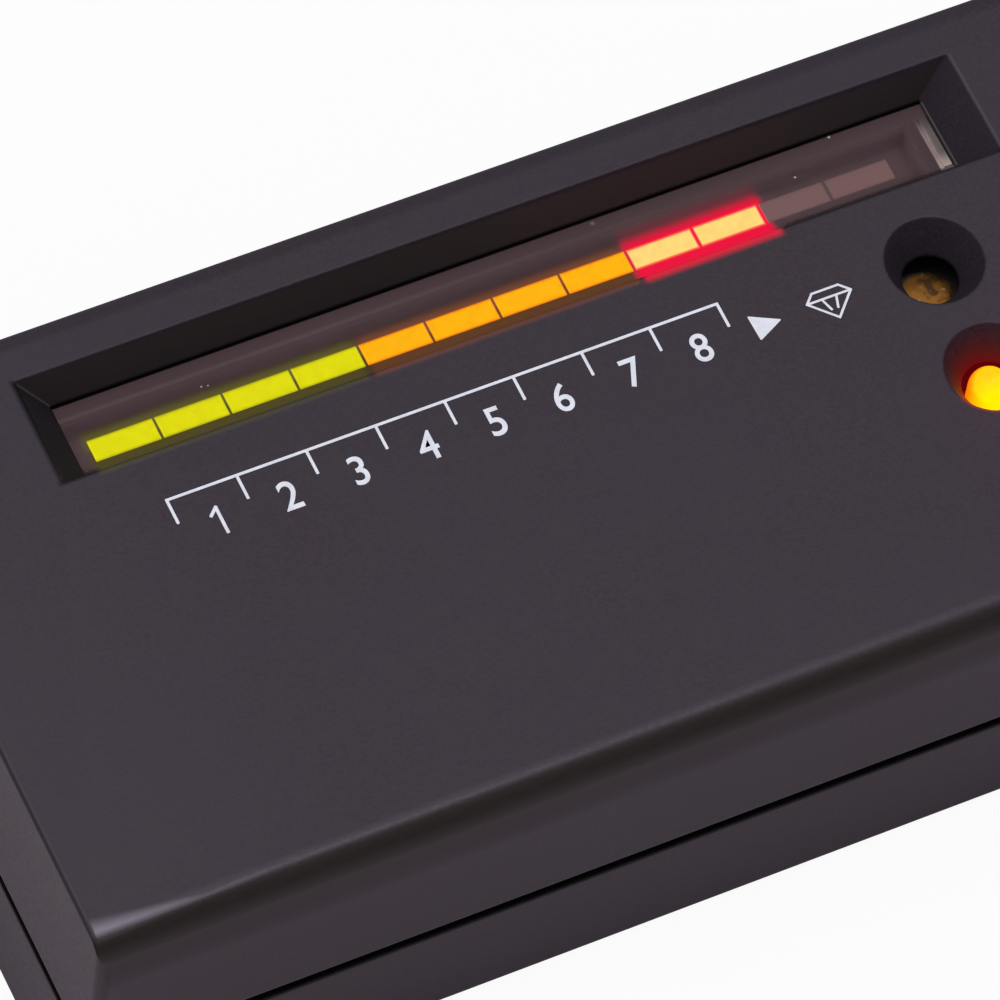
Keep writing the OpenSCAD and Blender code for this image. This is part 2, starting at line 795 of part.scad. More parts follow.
module chip(mid, pins) {
    l = pins * pin_pitch;
    pin_z = chip_stand + chip_h / 2;
    translate([mid[0], mid[1], board_z1]) {
        difference() {
            block([-l / 2, -chip_w / 2, chip_stand], [l / 2, chip_w / 2, chip_stand + chip_h]);
            translate([-l / 2, 0, chip_stand + chip_h - pin_w]) cylinder(h = over, r = pin_pitch / 3);
        }
        for (i = [0:pins - 1], side = [-1, 1]) {
            x = (i - (pins - 1) / 2) * pin_pitch;
            translate([x - pin_w / 2, side * pin_reach - pin_w / 2, 0]) cube([pin_w, pin_w, pin_z]);
            translate([x - pin_w / 2, side > 0 ? chip_w / 2 - pin_w : -pin_reach - pin_w / 2, pin_z - pin_w])
                cube([pin_w, pin_reach - chip_w / 2 + 1.5 * pin_w, pin_w]);
        }
    }
}

module driver_chip() {
    color([0.1, 0.1, 0.11]) chip([board_x1 - driver_edge - driver_pins * pin_pitch / 2, board_y0 + driver_in],
        driver_pins);
}

module amplifier_chip() {
    color([0.1, 0.1, 0.11]) chip([wheel_px - amp_back, board_y0 + amp_in], amp_pins);
}

// Can capacitors beside the battery box
can_d = 5;
can_h = 7;
can_in = 10;
can_pitch = 5.6;

module capacitors() {
    color([0.13, 0.15, 0.24]) for (y = [board_y0 + can_in, board_y0 + can_in + can_pitch])
        translate([board_x0 + can_d, y, board_z1]) rotate_extrude() union() {
            square([can_d / 2, can_h / 6]);
            square([can_d / 2 - 0.2, can_h]);
            translate([0, can_h / 4]) square([can_d / 2, can_h * 0.72]);
        }
}

// Square trimmers with a slotted rotor
trim_w = 6.4;
trim_h = 3;
trim_rotor = 0.5;
trim_slot = 0.6;
trim_front = 3.5;
trim_in = 21;
trim_past_hole = 1.6;
trim_edge = 4;

module trimmers() {
    color([0.2, 0.35, 0.65]) for (place = [
        [wheel_px + trim_front, board_y0 + trim_in],
        [hole_px + trim_past_hole, board_y0 + trim_edge]
    ])
        translate([place[0], place[1], board_z1]) difference() {
            union() {
                block([-trim_w / 2, -trim_w / 2, 0], [trim_w / 2, trim_w / 2, trim_h]);
                cylinder(h = trim_h + trim_rotor, d = trim_w * 0.66);
            }
            translate([-trim_w / 4, -trim_slot / 2, trim_h]) cube([trim_w / 2, trim_slot, over]);
        }
}

// Row of resistors across the board
res_d = 2.3;
res_l = 5.6;
res_span = 7;
res_count = 5;
res_pitch = 2.5;
res_edge = 0.4;
res_waist = 0.4;
res_clear = 0.5;

module resistors() {
    res_z = board_z1 + res_d / 2 + loose_fit;
    last_x = board_places[2][0] - board_boss_d / 2 - res_clear - res_d / 2;
    color([0.75, 0.62, 0.45]) for (i = [0:res_count - 1])
        translate([last_x - i * res_pitch, board_y0 + res_edge, 0]) {
            translate([0, (res_span - res_l) / 2, res_z]) rotate([-90, 0, 0]) union() {
                cylinder(h = res_l, d = res_d - res_waist);
                cylinder(h = res_l / 4, d = res_d);
                translate([0, 0, res_l * 0.75]) cylinder(h = res_l / 4, d = res_d);
            }
            block([-leg_w / 2, 0, res_z - leg_w / 2], [leg_w / 2, res_span, res_z + leg_w / 2]);
            for (y = [0, res_span - leg_w])
                block([-leg_w / 2, y, board_z1], [leg_w / 2, y + leg_w, res_z]);
        }
}

// Turning control under the wheel, with its legs through the board
pot_legs = [-2.5, 0, 2.5];
pot_leg_in = 3.2;

module pot_body() {
    color([0.16, 0.16, 0.18]) difference() {
        union() {
            post([wheel_px, wheel_py], board_z1, board_z1 + pot_h, pot_d / 2);
            for (x = pot_legs)
                translate([wheel_px + x - leg_w / 2, wheel_py - pot_leg_in - leg_w / 2, board_z0 - leg_below])
                    cube([leg_w, leg_w, board_t + leg_below + over / 2]);
        }
        post([wheel_px, wheel_py], board_z1 + shaft_floor, board_z1 + pot_h + over, shaft_d / 2 + run_fit);
    }
}

module pot_shaft() {
    spigot_z1 = wheel_z + wheel_t - wheel_head_h - loose_fit;
    color(steel) difference() {
        union() {
            post([wheel_px, wheel_py], board_z1 + shaft_floor + loose_fit, wheel_z, shaft_d / 2);
            post([wheel_px, wheel_py], wheel_z - over, spigot_z1, spigot_d / 2);
        }
        post([wheel_px, wheel_py], spigot_z1 - wheel_screw_l, spigot_z1 + over, wheel_screw_d / 2 + press_fit);
    }
}

module thumbwheel() {
    head_z = wheel_z + wheel_t - wheel_head_h - loose_fit;
    color([0.06, 0.06, 0.065]) difference() {
        post([wheel_px, wheel_py], wheel_z, wheel_z + wheel_t, wheel_d / 2);
        for (i = [0:flutes - 1])
            rotate_about_wheel(i * 360 / flutes)
                post([wheel_px + wheel_d / 2, wheel_py], wheel_z - over, wheel_z + wheel_t + over, flute_r);
        post([wheel_px, wheel_py], wheel_z - over, wheel_z + wheel_t + over, spigot_d / 2 + press_fit);
        post([wheel_px, wheel_py], head_z, wheel_z + wheel_t + over, wheel_head_d / 2 + loose_fit);
    }
}

module rotate_about_wheel(turn) {
    translate([wheel_px, wheel_py, 0]) rotate(turn) translate([-wheel_px, -wheel_py, 0]) children();
}

module wheel_screw() {
    seat_z = wheel_z + wheel_t - wheel_head_h - loose_fit;
    color(steel) screw([wheel_px, wheel_py], seat_z, wheel_screw_d, wheel_screw_l - loose_fit, wheel_head_d,
        wheel_head_h, false);
}

module battery() {
    color([0.2, 0.2, 0.22]) along_x(bat_x, terminal_x)
        round_square([bat_y, bat_z], [bat_y + bat_w, bat_z + bat_h], bat_r);
}

// Bar along X at a terminal: side -1 is the stud, 1 the socket
module terminal_bar(side, x0, x1, d) {
    translate([x0, bat_mid_y + side * terminal_gap / 2, bat_mid_z]) rotate([0, 90, 0]) cylinder(h = x1 - x0, d = d);
}

module battery_terminals() {
    color(steel) {
        terminal_bar(-1, terminal_x, terminal_x + terminal_h, stud_d);
        difference() {
            terminal_bar(1, terminal_x, terminal_x + terminal_h, socket_d);
            terminal_bar(1, terminal_x + 0.4, terminal_x + terminal_h + over, stud_d + 2 * loose_fit);
        }
    }
}

module snap_contacts() {
    color(steel) {
        terminal_bar(1, snap_x - terminal_h + 0.6, snap_x, stud_d);
        difference() {
            terminal_bar(-1, snap_x - terminal_h + 0.2, snap_x, socket_d);
            terminal_bar(-1, snap_x - terminal_h - over, snap_x + over, stud_d + 2 * loose_fit);
        }
    }
}

module battery_snap() {
    color([0.08, 0.08, 0.09]) along_x(snap_x, snap_x + snap_t)
        round_square([bat_mid_y - snap_l / 2, bat_mid_z - snap_w / 2],
            [bat_mid_y + snap_l / 2, bat_mid_z + snap_w / 2], snap_w / 4);
}

// Turned nose, gripped at its neck by the two halves of the case
module nose_cone() {
    color(case_colour) difference() {
        turned() polygon([[0, barrel_x], [barrel_d / 2, barrel_x], [barrel_d / 2, flange_x - flange_t],
            [flange_d / 2, flange_x - flange_t], [flange_d / 2, flange_x], [neck_d / 2, flange_x],
            [neck_d / 2, collar_x], [collar_d / 2, collar_x], [collar_d / 2, cone_x],
            [cone_d / 2, cone_x], [cone_tip_d / 2, nose_x1], [0, nose_x1]]);
        probe_bar(barrel_x - over, shoulder_x, bore_r);
        probe_bar(shoulder_x - over, nose_x1 + over, sleeve_d / 2 + run_fit);
    }
}

module spring_plug() {
    color([0.75, 0.74, 0.7]) difference() {
        probe_bar(barrel_x, barrel_x + plug_t, bore_r - press_fit);
        probe_bar(barrel_x - over, barrel_x + plug_t + over, plug_hole_d / 2);
    }
}

module probe_plunger() {
    color(brass) difference() {
        probe_bar(plunger_x0, plunger_x1, plunger_d / 2);
        probe_bar(plunger_x0 - over, tip_x0, heater_d / 2 + press_fit);
        probe_bar(plunger_x0, plunger_x1 + over, tip_d / 2 + press_fit);
        probe_bar(sleeve_x0, plunger_x1 + over, sleeve_d / 2 + press_fit);
    }
}

module probe_sleeve() {
    color(steel) difference() {
        probe_bar(sleeve_x0, sleeve_x1, sleeve_d / 2);
        probe_bar(sleeve_x0 - over, sleeve_x1 + over, tip_d / 2 + press_fit);
    }
}

module probe_tip() {
    r = tip_d / 2;
    color(copper) union() {
        probe_bar(tip_x0, tip_x1 - r, r);
        translate([tip_x1 - r, 0, probe_z]) sphere(r);
    }
}

module heater() {
    color([0.88, 0.86, 0.82]) probe_bar(plunger_x0, plunger_x0 + heater_l, heater_d / 2);
}

// Tube swept along points: each ring lies square to the route, with its first point towards normals[i]
function unit(v) = v / norm(v);
function heading(p, i) = unit(p[min(i + 1, len(p) - 1)] - p[max(i - 1, 0)]);
function across(n, t) = unit(n - t * (n * t));
function ring(p, t, n, r, sides) = [for (k = [0:sides - 1])
    p + r * (cos(360 * k / sides) * n + sin(360 * k / sides) * cross(t, n))];

module tube(points, normals, d, sides) {
    last = len(points) - 1;
    rings = [for (i = [0:last]) each
        ring(points[i], heading(points, i), across(normals[i], heading(points, i)), d / 2, sides)];
    skin = [for (i = [0:last - 1], k = [0:sides - 1]) each
        let (a = i * sides + k, b = i * sides + (k + 1) % sides)
        [[a, a + sides, b], [b, a + sides, b + sides]]];
    start_cap = [for (k = [1:sides - 2]) [0, k, k + 1]];
    end_cap = [for (k = [1:sides - 2]) [last * sides, last * sides + k + 1, last * sides + k]];
    polyhedron(rings, concat(skin, start_cap, end_cap));
}

// Wire whose route stays clear of the Y direction
wire_sides = 8;

module wire(points, d) {
    tube(points, [for (p = points) [0, 1, 0]], d, wire_sides);
}

// Helical spring between the plug and the plunger
rings_per_turn = 8;
spring_sides = 6;
spring_seat = spring_wire / 2 + nose_play;

module probe_spring() {
    steps = spring_turns * rings_per_turn;
    x0 = spring_x0 + spring_seat;
    rise = plunger_x0 - spring_seat - x0;
    radial = [for (i = [0:steps]) [0, cos(360 * i / rings_per_turn), sin(360 * i / rings_per_turn)]];
    points = [for (i = [0:steps]) [x0 + rise * i / steps, 0, probe_z] + spring_d / 2 * radial[i]];
    color(steel) tube(points, radial, spring_wire, spring_sides);
}

// Leads of the battery, from the snap cap through the box's end wall to the board's underside
lead_side = 7.75;
lead_gap = 3.8;
lead_drop = 1.05;
way_margin = 1.5;
lead_y = [bat_mid_y + lead_side - lead_gap / 2, bat_mid_y + lead_side + lead_gap / 2];
lead_way_y = lead_y[0] - way_margin;

function lead_route(y) = [
    [snap_x + snap_t, y, bat_mid_z - lead_drop],
    [snap_x + snap_t + 1, y, bat_mid_z - lead_drop],
    [box_x, y, bat_mid_z - 1.65],
    [box_x + box_t, y, bat_mid_z - 2.05],
    [board_x0 + 1.5, y, board_z0 - 4.65],
    [board_x0 + 3.6, y, board_z0 - 4.45],
    [board_x0 + 5.4, y, board_z0 - 3.65],
    [board_x0 + 6.4, y, board_z0 - 2.45],
    [board_x0 + 6.6, y, board_z0 - 1.25],
    [board_x0 + 6.6, y, board_z0]
];

module battery_lead_red() {
    color([0.7, 0.08, 0.08]) wire(lead_route(lead_y[1]), lead_d);
}

module battery_lead_black() {
    color([0.05, 0.05, 0.05]) wire(lead_route(lead_y[0]), lead_d);
}

// Leads of the sounder, from the disc and its ceramic down to the board
thin_lead_d = 0.8;

module sounder_leads() {
    disc_y = sound_py + (sounder_d + ceramic_d) / 4;
    color([0.7, 0.1, 0.1]) {
        wire([[hole_px, disc_y, sounder_z], [hole_px, disc_y, sounder_z - 1], [hole_px + 0.5, disc_y, sounder_z - 2.2],
            [hole_px + 1, disc_y, sounder_z - 3.4], [hole_px + 1.2, disc_y, board_z1 + 1.4],
            [hole_px + 1.2, disc_y, board_z1]], thin_lead_d);
        wire([[hole_px, sound_py, sounder_z - ceramic_t], [hole_px, sound_py, sounder_z - 1.2],
            [hole_px + 0.6, sound_py, sounder_z - 2.4], [hole_px + 1.1, sound_py, sounder_z - 3.6],
            [hole_px + 1.2, sound_py, board_z1 + 1.4], [hole_px + 1.2, sound_py, board_z1]], thin_lead_d);
    }
}

// Leads of the probe, from the heater through the spring and its plug to the board
probe_lead_y = 0.6;

module probe_leads() {
    color([0.8, 0.75, 0.2]) for (side = [-1, 1])
        wire([[plunger_x0 - nose_play, side * probe_lead_y, probe_z],
            [spring_x0 + 2, side * probe_lead_y, probe_z],
            [barrel_x + plug_t, side * probe_lead_y, probe_z],
            [barrel_x, side * probe_lead_y, probe_z],
            [barrel_x - 1.6, side * probe_lead_y, probe_z - 0.2],
            [board_x1 - 2, side * probe_lead_y, board_z0 - 2.65],
            [board_x1 - 4, side * probe_lead_y, board_z0 - 2.45],
            [board_x1 - 5.4, side * probe_lead_y, board_z0 - 1.75],
            [board_x1 - 5.8, side * probe_lead_y, board_z0 - 1.05],
            [board_x1 - 5.8, side * probe_lead_y, board_z0]], thin_lead_d);
}

upper_case();
lower_case();
case_screws();
battery_door();
display_window();
window_tape();
led_holder();
green_leds();
amber_leds();
red_leds();
ready_lamp();
lamp_spacer();
sounder_disc();
sounder_ceramic();
sounder_leads();
main_board();
board_screws();
driver_chip();
amplifier_chip();
capacitors();
trimmers();
resistors();
pot_body();
pot_shaft();
thumbwheel();
wheel_screw();
battery();
battery_terminals();
battery_snap();
snap_contacts();
battery_lead_red();
battery_lead_black();
nose_cone();
spring_plug();
probe_spring();
probe_plunger();
probe_sleeve();
probe_tip();
heater();
probe_leads();
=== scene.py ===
"""Looks of a hand-held gemstone tester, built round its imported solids.

The solids are metres in one frame: +X runs to the probe, +Y to the display side and +Z up.
"""

import json
import math

import bmesh
import bpy
from bpy.props import FloatProperty, FloatVectorProperty, PointerProperty
from mathutils import Matrix, Vector

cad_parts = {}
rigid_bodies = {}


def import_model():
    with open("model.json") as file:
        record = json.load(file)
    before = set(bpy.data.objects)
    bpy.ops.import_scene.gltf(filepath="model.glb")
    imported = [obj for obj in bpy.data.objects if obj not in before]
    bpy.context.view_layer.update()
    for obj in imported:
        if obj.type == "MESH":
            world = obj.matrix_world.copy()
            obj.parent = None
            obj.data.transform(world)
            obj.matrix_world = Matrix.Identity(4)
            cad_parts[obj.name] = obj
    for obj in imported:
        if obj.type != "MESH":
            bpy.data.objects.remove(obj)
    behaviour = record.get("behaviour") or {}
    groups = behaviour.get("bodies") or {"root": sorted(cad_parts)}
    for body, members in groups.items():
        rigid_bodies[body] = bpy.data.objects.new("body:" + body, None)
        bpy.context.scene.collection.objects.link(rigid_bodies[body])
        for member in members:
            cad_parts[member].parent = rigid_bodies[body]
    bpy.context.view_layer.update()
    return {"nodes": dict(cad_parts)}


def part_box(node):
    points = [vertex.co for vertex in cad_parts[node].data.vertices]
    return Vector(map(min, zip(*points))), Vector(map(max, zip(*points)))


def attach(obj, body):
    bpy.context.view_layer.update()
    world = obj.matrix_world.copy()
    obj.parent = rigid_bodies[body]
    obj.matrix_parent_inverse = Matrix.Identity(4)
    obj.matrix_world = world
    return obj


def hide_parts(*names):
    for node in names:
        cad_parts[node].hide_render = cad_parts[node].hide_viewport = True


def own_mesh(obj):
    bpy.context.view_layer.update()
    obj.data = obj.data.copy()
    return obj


bl_info = {
    "name": "Gemstone tester looks",
    "version": (1, 0, 0),
    "blender": (4, 5, 0),
    "location": "3D View > Sidebar > Tester",
    "description": "Finishes the solids of a gemstone tester, prints its scale and lights it",
    "category": "Object",
}

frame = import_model()
NODES = frame["nodes"]

# Places that the finishes and the print take from the solids
CASE_LOW, CASE_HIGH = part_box("upper_case")
TOP_Z = CASE_HIGH.z
WINDOW_LOW, WINDOW_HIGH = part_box("display_window")
GREEN_LOW, GREEN_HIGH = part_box("green_leds")
AMBER_LOW, AMBER_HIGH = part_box("amber_leds")
RED_LOW, RED_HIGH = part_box("red_leds")
LAMP_LOW, LAMP_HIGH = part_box("ready_lamp")
LAMP_MID = (LAMP_LOW + LAMP_HIGH) / 2
BOARD_LOW, BOARD_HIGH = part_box("main_board")
PROBE_LOW, PROBE_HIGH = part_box("probe_tip")
PROBE_MID = (PROBE_LOW + PROBE_HIGH) / 2

# X at which the lit red lamps end: half of them are off
LIT_RED_END = (RED_LOW.x + RED_HIGH.x) / 2

# The sunk display frame, at its rim and at its floor
RIM_TAIL = -0.0510
RIM_FRONT = 0.0193
RIM_NEAR = 0.0103
RIM_FAR = 0.0188
FLOOR_TAIL = -0.0486
FLOOR_FRONT = 0.0169
FLOOR_FAR = 0.0176
FLOOR_Z = 0.0236

# Height of the lower half's edge under the parting groove; above it the lower half is painted near black as
# shade in the groove
GROOVE_LEDGE = 0.01052

# How far toward the tail from the bar lamps the photo's view shows their light on the frame's near rim
LIGHT_SHIFT = 0.0014

# Specks of dust on the window: X, Y, size and strength
DUST = (
    (0.00986, 0.01736, 0.00012, 1.0),
    (0.00624, 0.01529, 0.00012, 1.0),
    (-0.00835, 0.01715, 0.00020, 0.22),
    (-0.03850, 0.01532, 0.00011, 0.8),
    (-0.03804, 0.01523, 0.00010, 0.7),
)

WHITE = (1.0, 1.0, 1.0, 1.0)
RED_LIGHT = (1.0, 0.0, 0.035)

# Share of the ink's thickness by which the strokes and the pointer go into the face
INK_SUNK = 0.4

# Kinds of settings
COLOUR = {"subtype": "COLOR", "size": 3, "min": 0.0, "max": 1.0}
LENGTH = {"subtype": "DISTANCE", "unit": "LENGTH"}


# Sizes and colours that a user would change

class TesterCaseSettings(bpy.types.PropertyGroup):
    """Moulded plastic of the case"""

    colour: FloatVectorProperty(
        name="Case colour", description="Colour of the moulded plastic",
        default=(0.0205, 0.0154, 0.0210), **COLOUR,
    )
    grain: FloatProperty(
        name="Grain size", description="Width of one bump of the moulded grain", default=0.00024, **LENGTH,
    )
    grain_depth: FloatProperty(
        name="Grain depth", description="Depth of the moulded grain", default=0.000018, **LENGTH,
    )
    edge: FloatProperty(
        name="Edge softness", description="Radius that the moulded edges look rounded by",
        default=0.00030, **LENGTH,
    )


class TesterLampSettings(bpy.types.PropertyGroup):
    """Light of the bar lamps and of the ready lamp"""

    green: FloatVectorProperty(
        name="Green lamps", description="Light of the green bar lamps", default=(0.74, 0.71, 0.0), **COLOUR,
    )
    amber: FloatVectorProperty(
        name="Amber lamps", description="Light of the amber bar lamps", default=(1.0, 0.46, 0.0), **COLOUR,
    )
    red: FloatVectorProperty(
        name="Red lamps", description="Light in the middle of the lit red bar lamps",
        default=(1.0, 0.68, 0.19), **COLOUR,
    )
    halo: FloatVectorProperty(
        name="Red halo", description="Light that the red bar lamps throw on their holder",
        default=(0.82, 0.0, 0.04), **COLOUR,
    )
    unlit: FloatVectorProperty(
        name="Unlit lens", description="Colour of a bar lamp that is off",
        default=(0.495, 0.282, 0.278), **COLOUR,
    )
    strength: FloatProperty(
        name="Lamp strength", description="Strength of the bar lamps behind the smoked window",
        default=1.55, min=0.0,
    )
    ready: FloatProperty(
        name="Ready lamp strength", description="Strength of the ready lamp", default=1.02, min=0.0,
    )


class TesterPrintSettings(bpy.types.PropertyGroup):
    """Printed scale, numbers and signs on the top face"""

    ink: FloatVectorProperty(
        name="Ink colour", description="Colour of the print", default=(0.62, 0.635, 0.72), **COLOUR,
    )
    line: FloatProperty(
        name="Line width", description="Width of the scale's lines", default=0.00021, **LENGTH,
    )
    tick: FloatProperty(
        name="Tick length", description="Length of the scale's ticks", default=0.00187, **LENGTH,
    )
    pitch: FloatProperty(
        name="Tick pitch", description="Distance between the ticks", default=0.0051, **LENGTH,
    )
    numeral: FloatProperty(
        name="Number height", description="Height of the numbers", default=0.00227, **LENGTH,
    )
    proud: FloatProperty(
        name="Ink thickness", description="How far the ink stands on the top face",
        default=0.000012, **LENGTH,
    )


class TesterStageSettings(bpy.types.PropertyGroup):
    """Floor and studio light"""

    floor: FloatVectorProperty(
        name="Floor colour", description="Colour of the floor", default=(0.67, 0.585, 0.655), **COLOUR,
    )
    room: FloatProperty(
        name="Room light", description="Strength of the light from all round", default=0.52, min=0.0,
    )
    key: FloatProperty(
        name="Key light", description="Strength of the small soft box overhead",
        subtype="POWER", default=1.25, min=0.0,
    )
    top: FloatProperty(
        name="Top light", description="Strength of the broad soft light above the tail",
        subtype="POWER", default=3.0, min=0.0,
    )


# Node helpers

def bare_tree(owner):
    """The emptied node tree of a material or of the world."""
    owner.use_nodes = True
    owner.node_tree.nodes.clear()
    return owner.node_tree


def start_material(name):
    """A new material with a Principled shader on its output."""
    material = bpy.data.materials.new(name)
    tree = bare_tree(material)
    output = tree.nodes.new("ShaderNodeOutputMaterial")
    shader = tree.nodes.new("ShaderNodeBsdfPrincipled")
    tree.links.new(shader.outputs["BSDF"], output.inputs["Surface"])
    return material, tree, shader


def put(tree, kind, values=None, **settings):
    """A new node with its settings, and its inputs set or linked."""
    node = tree.nodes.new(kind)
    for key, value in settings.items():
        setattr(node, key, value)
    set_inputs(tree, node, values or {})
    return node


def set_inputs(tree, node, values):
    """Sets or links a node's inputs by their names."""
    for key, value in values.items():
        feed(tree, node.inputs[key], value)


def feed(tree, socket, value):
    """Links a socket to another, or sets it to a plain value."""
    if isinstance(value, bpy.types.NodeSocket):
        tree.links.new(value, socket)
    else:
        socket.default_value = value


def place(tree):
    """The Object coordinates, which are the part's own frame."""
    return put(tree, "ShaderNodeTexCoord").outputs["Object"]


def axes(tree):
    """The Object coordinates as X, Y and Z."""
    parts = put(tree, "ShaderNodeSeparateXYZ", {"Vector": place(tree)})
    return parts.outputs["X"], parts.outputs["Y"], parts.outputs["Z"]


def stretched(tree, scale):
    """The Object coordinates, scaled along each axis."""
    mapping = put(tree, "ShaderNodeMapping", {"Vector": place(tree), "Scale": scale})
    return mapping.outputs["Vector"]


def noise(tree, scale, detail=2.0, vector=None):
    """Noise from 0 to 1 with features of about 1 / scale metres."""
    node = put(tree, "ShaderNodeTexNoise", {"Scale": scale, "Detail": detail})
    feed(tree, node.inputs["Vector"], vector or place(tree))
    return node.outputs["Fac"]


def maths(tree, operation, *values):
    """Two or more values joined by one kind of arithmetic, or one value changed by it."""
    total = values[0]
    for value in values[1:] or (0.0,):
        node = put(tree, "ShaderNodeMath", {0: total, 1: value}, operation=operation)
        total = node.outputs["Value"]
    return total


def times(tree, *values):
    """Product of the values."""
    return maths(tree, "MULTIPLY", *values)


def plus(tree, *values):
    """Sum of the values."""
    return maths(tree, "ADD", *values)


def minus(tree, first, second):
    """The first value less the second."""
    return maths(tree, "SUBTRACT", first, second)


def most(tree, *values):
    """The largest of the values."""
    return maths(tree, "MAXIMUM", *values)


def fit(tree, value, low, high, to_low, to_high, kind="LINEAR"):
    """Value mapped from one range to another and held there."""
    values = {"Value": value, "From Min": low, "From Max": high, "To Min": to_low, "To Max": to_high}
    node = put(tree, "ShaderNodeMapRange", values, interpolation_type=kind)
    return node.outputs["Result"]


def smooth(tree, value, low, high, to_low, to_high):
    """Value mapped from one range to another, with a soft start and end."""
    return fit(tree, value, low, high, to_low, to_high, "SMOOTHSTEP")


def step(tree, value, edge, soft):
    """0 below an edge and 1 above it, with a soft change."""
    return smooth(tree, value, edge - soft, edge + soft, 0.0, 1.0)


def band(tree, value, low, high, soft):
    """1 between two edges and 0 outside, with soft ends."""
    rise = step(tree, value, low, soft)
    fall = step(tree, value, high, soft)
    return minus(tree, rise, fall)


def both(tree, first, second):
    """1 inside two bands and 0 outside, each band given by its value, edges and softness."""
    return times(tree, band(tree, *first), band(tree, *second))


def blend(tree, factor, first, second):
    """Mix of two colours by a factor."""
    node = put(tree, "ShaderNodeMix", {"Factor": factor}, data_type="RGBA")
    for socket, value in ((node.inputs[6], first), (node.inputs[7], second)):
        feed(tree, socket, value if isinstance(value, bpy.types.NodeSocket) else rgba(value))
    return node.outputs[2]


def layered(tree, base, layers):
    """A colour with further tones laid over it in turn, each by its own mask."""
    for mask, tone in layers:
        base = blend(tree, mask, base, tone)
    return base


def rgba(colour):
    """A colour with full alpha."""
    return (colour[0], colour[1], colour[2], 1.0)


def scaled(colour, factor):
    """A colour made darker or lighter."""
    return tuple(min(1.0, part * factor) for part in colour[:3])


def bump(tree, shader, height, depth, strength=1.0, normal=None):
    """Relief of a given depth on the shader."""
    node = put(tree, "ShaderNodeBump", {"Height": height, "Distance": depth, "Strength": strength})
    if normal is not None:
        feed(tree, node.inputs["Normal"], normal)
    tree.links.new(node.outputs["Normal"], shader.inputs["Normal"])


def from_upright(tree, x, y):
    """Distance from an upright line at X and Y."""
    offset = put(tree, "ShaderNodeVectorMath", {0: place(tree), 1: (x, y, 0.0)}, operation="SUBTRACT")
    flat = put(tree, "ShaderNodeVectorMath", {0: offset.outputs["Vector"], 1: (1.0, 1.0, 0.0)},
               operation="MULTIPLY")
    length = put(tree, "ShaderNodeVectorMath", {0: flat.outputs["Vector"]}, operation="LENGTH")
    return length.outputs["Value"]


def alignment(tree, first, second):
    """How far two directions point the same way: 1 where they are alike."""
    return put(tree, "ShaderNodeVectorMath", {0: first, 1: second}, operation="DOT_PRODUCT").outputs["Value"]


def mix_shaders(tree, factor, first, second):
    """Mix of two shaders by a factor."""
    return put(tree, "ShaderNodeMixShader", {0: factor, 1: first, 2: second}).outputs["Shader"]


def dress(node_name, material):
    """Gives a solid its finish."""
    solid = NODES[node_name]
    solid.data.materials.clear()
    solid.data.materials.append(material)


# Finishes

def edge_mask(tree, radius):
    """The rounded normal and a mask that is 1 on sharp edges."""
    soft = put(tree, "ShaderNodeBevel", {"Radius": radius}, samples=6).outputs["Normal"]
    flat = put(tree, "ShaderNodeNewGeometry").outputs["Normal"]
    return soft, fit(tree, alignment(tree, soft, flat), 0.99, 0.80, 0.0, 1.0)


def moulded_plastic(name, colour, settings, upper=False, ledge=None):
    """Satin black plastic with a fine moulded grain and smoother edges, paler there from wear and a painted
    edge highlight, with painted shade above a ledge.
    """
    material, tree, shader = start_material(name)
    fine = noise(tree, 1.0 / settings.grain, 3.0)
    cloud = noise(tree, 60.0)
    fleck = noise(tree, 700.0)
    speck = blend(tree, fit(tree, fine, 0.3, 0.7, 0.0, 1.0), scaled(colour, 0.70), scaled(colour, 1.30))
    normal, edges = edge_mask(tree, settings.edge)
    # Paler edges: partly wear, partly a painted edge highlight
    pale_marks = times(tree, edges, fit(tree, noise(tree, 900.0), 0.35, 0.7, 0.0, 0.25))
    base = layered(tree, speck, (
        (fit(tree, cloud, 0.35, 0.65, 0.0, 0.45), (0.0200, 0.0160, 0.0285)),
        (fit(tree, fleck, 0.40, 0.70, 0.0, 0.40), (0.0215, 0.0185, 0.0205)),
        (pale_marks, scaled(colour, 2.2)),
    ))
    relief = fine
    rough = fit(tree, fine, 0.3, 0.7, 0.40, 0.50)
    if upper:
        # Painted highlight: a pale wedge on the near top edge at the tail corner
        base = blend(tree, rubbed_corner(tree), base, (0.235, 0.210, 0.262))
        base = shaded_edges(tree, base)
        throw_lamp_light(tree, shader)
        lean_depth = 0.0008
        relief = plus(tree, fine, wall_lean(tree, lean_depth / settings.grain_depth))
        rough = plus(tree, rough, matt_places(tree))
    level = shader.inputs["Specular IOR Level"]
    level.default_value = 0.25
    if ledge is not None:
        # Painted shade: above the ledge the lower half is painted near black and given less sheen, as shade
        # in the parting groove
        unlit = step(tree, axes(tree)[2], ledge, 0.00012)
        base = blend(tree, unlit, base, (0.005, 0.004, 0.005))
        tree.links.new(fit(tree, unlit, 0.0, 1.0, 0.25, 0.04), level)
    set_inputs(tree, shader, {
        "Base Color": base,
        "Roughness": minus(tree, rough, times(tree, edges, 0.05)),
        "Specular Tint": (1.0, 0.86, 1.0, 1.0),
    })
    bump(tree, shader, relief, settings.grain_depth, 0.7, normal)
    return material


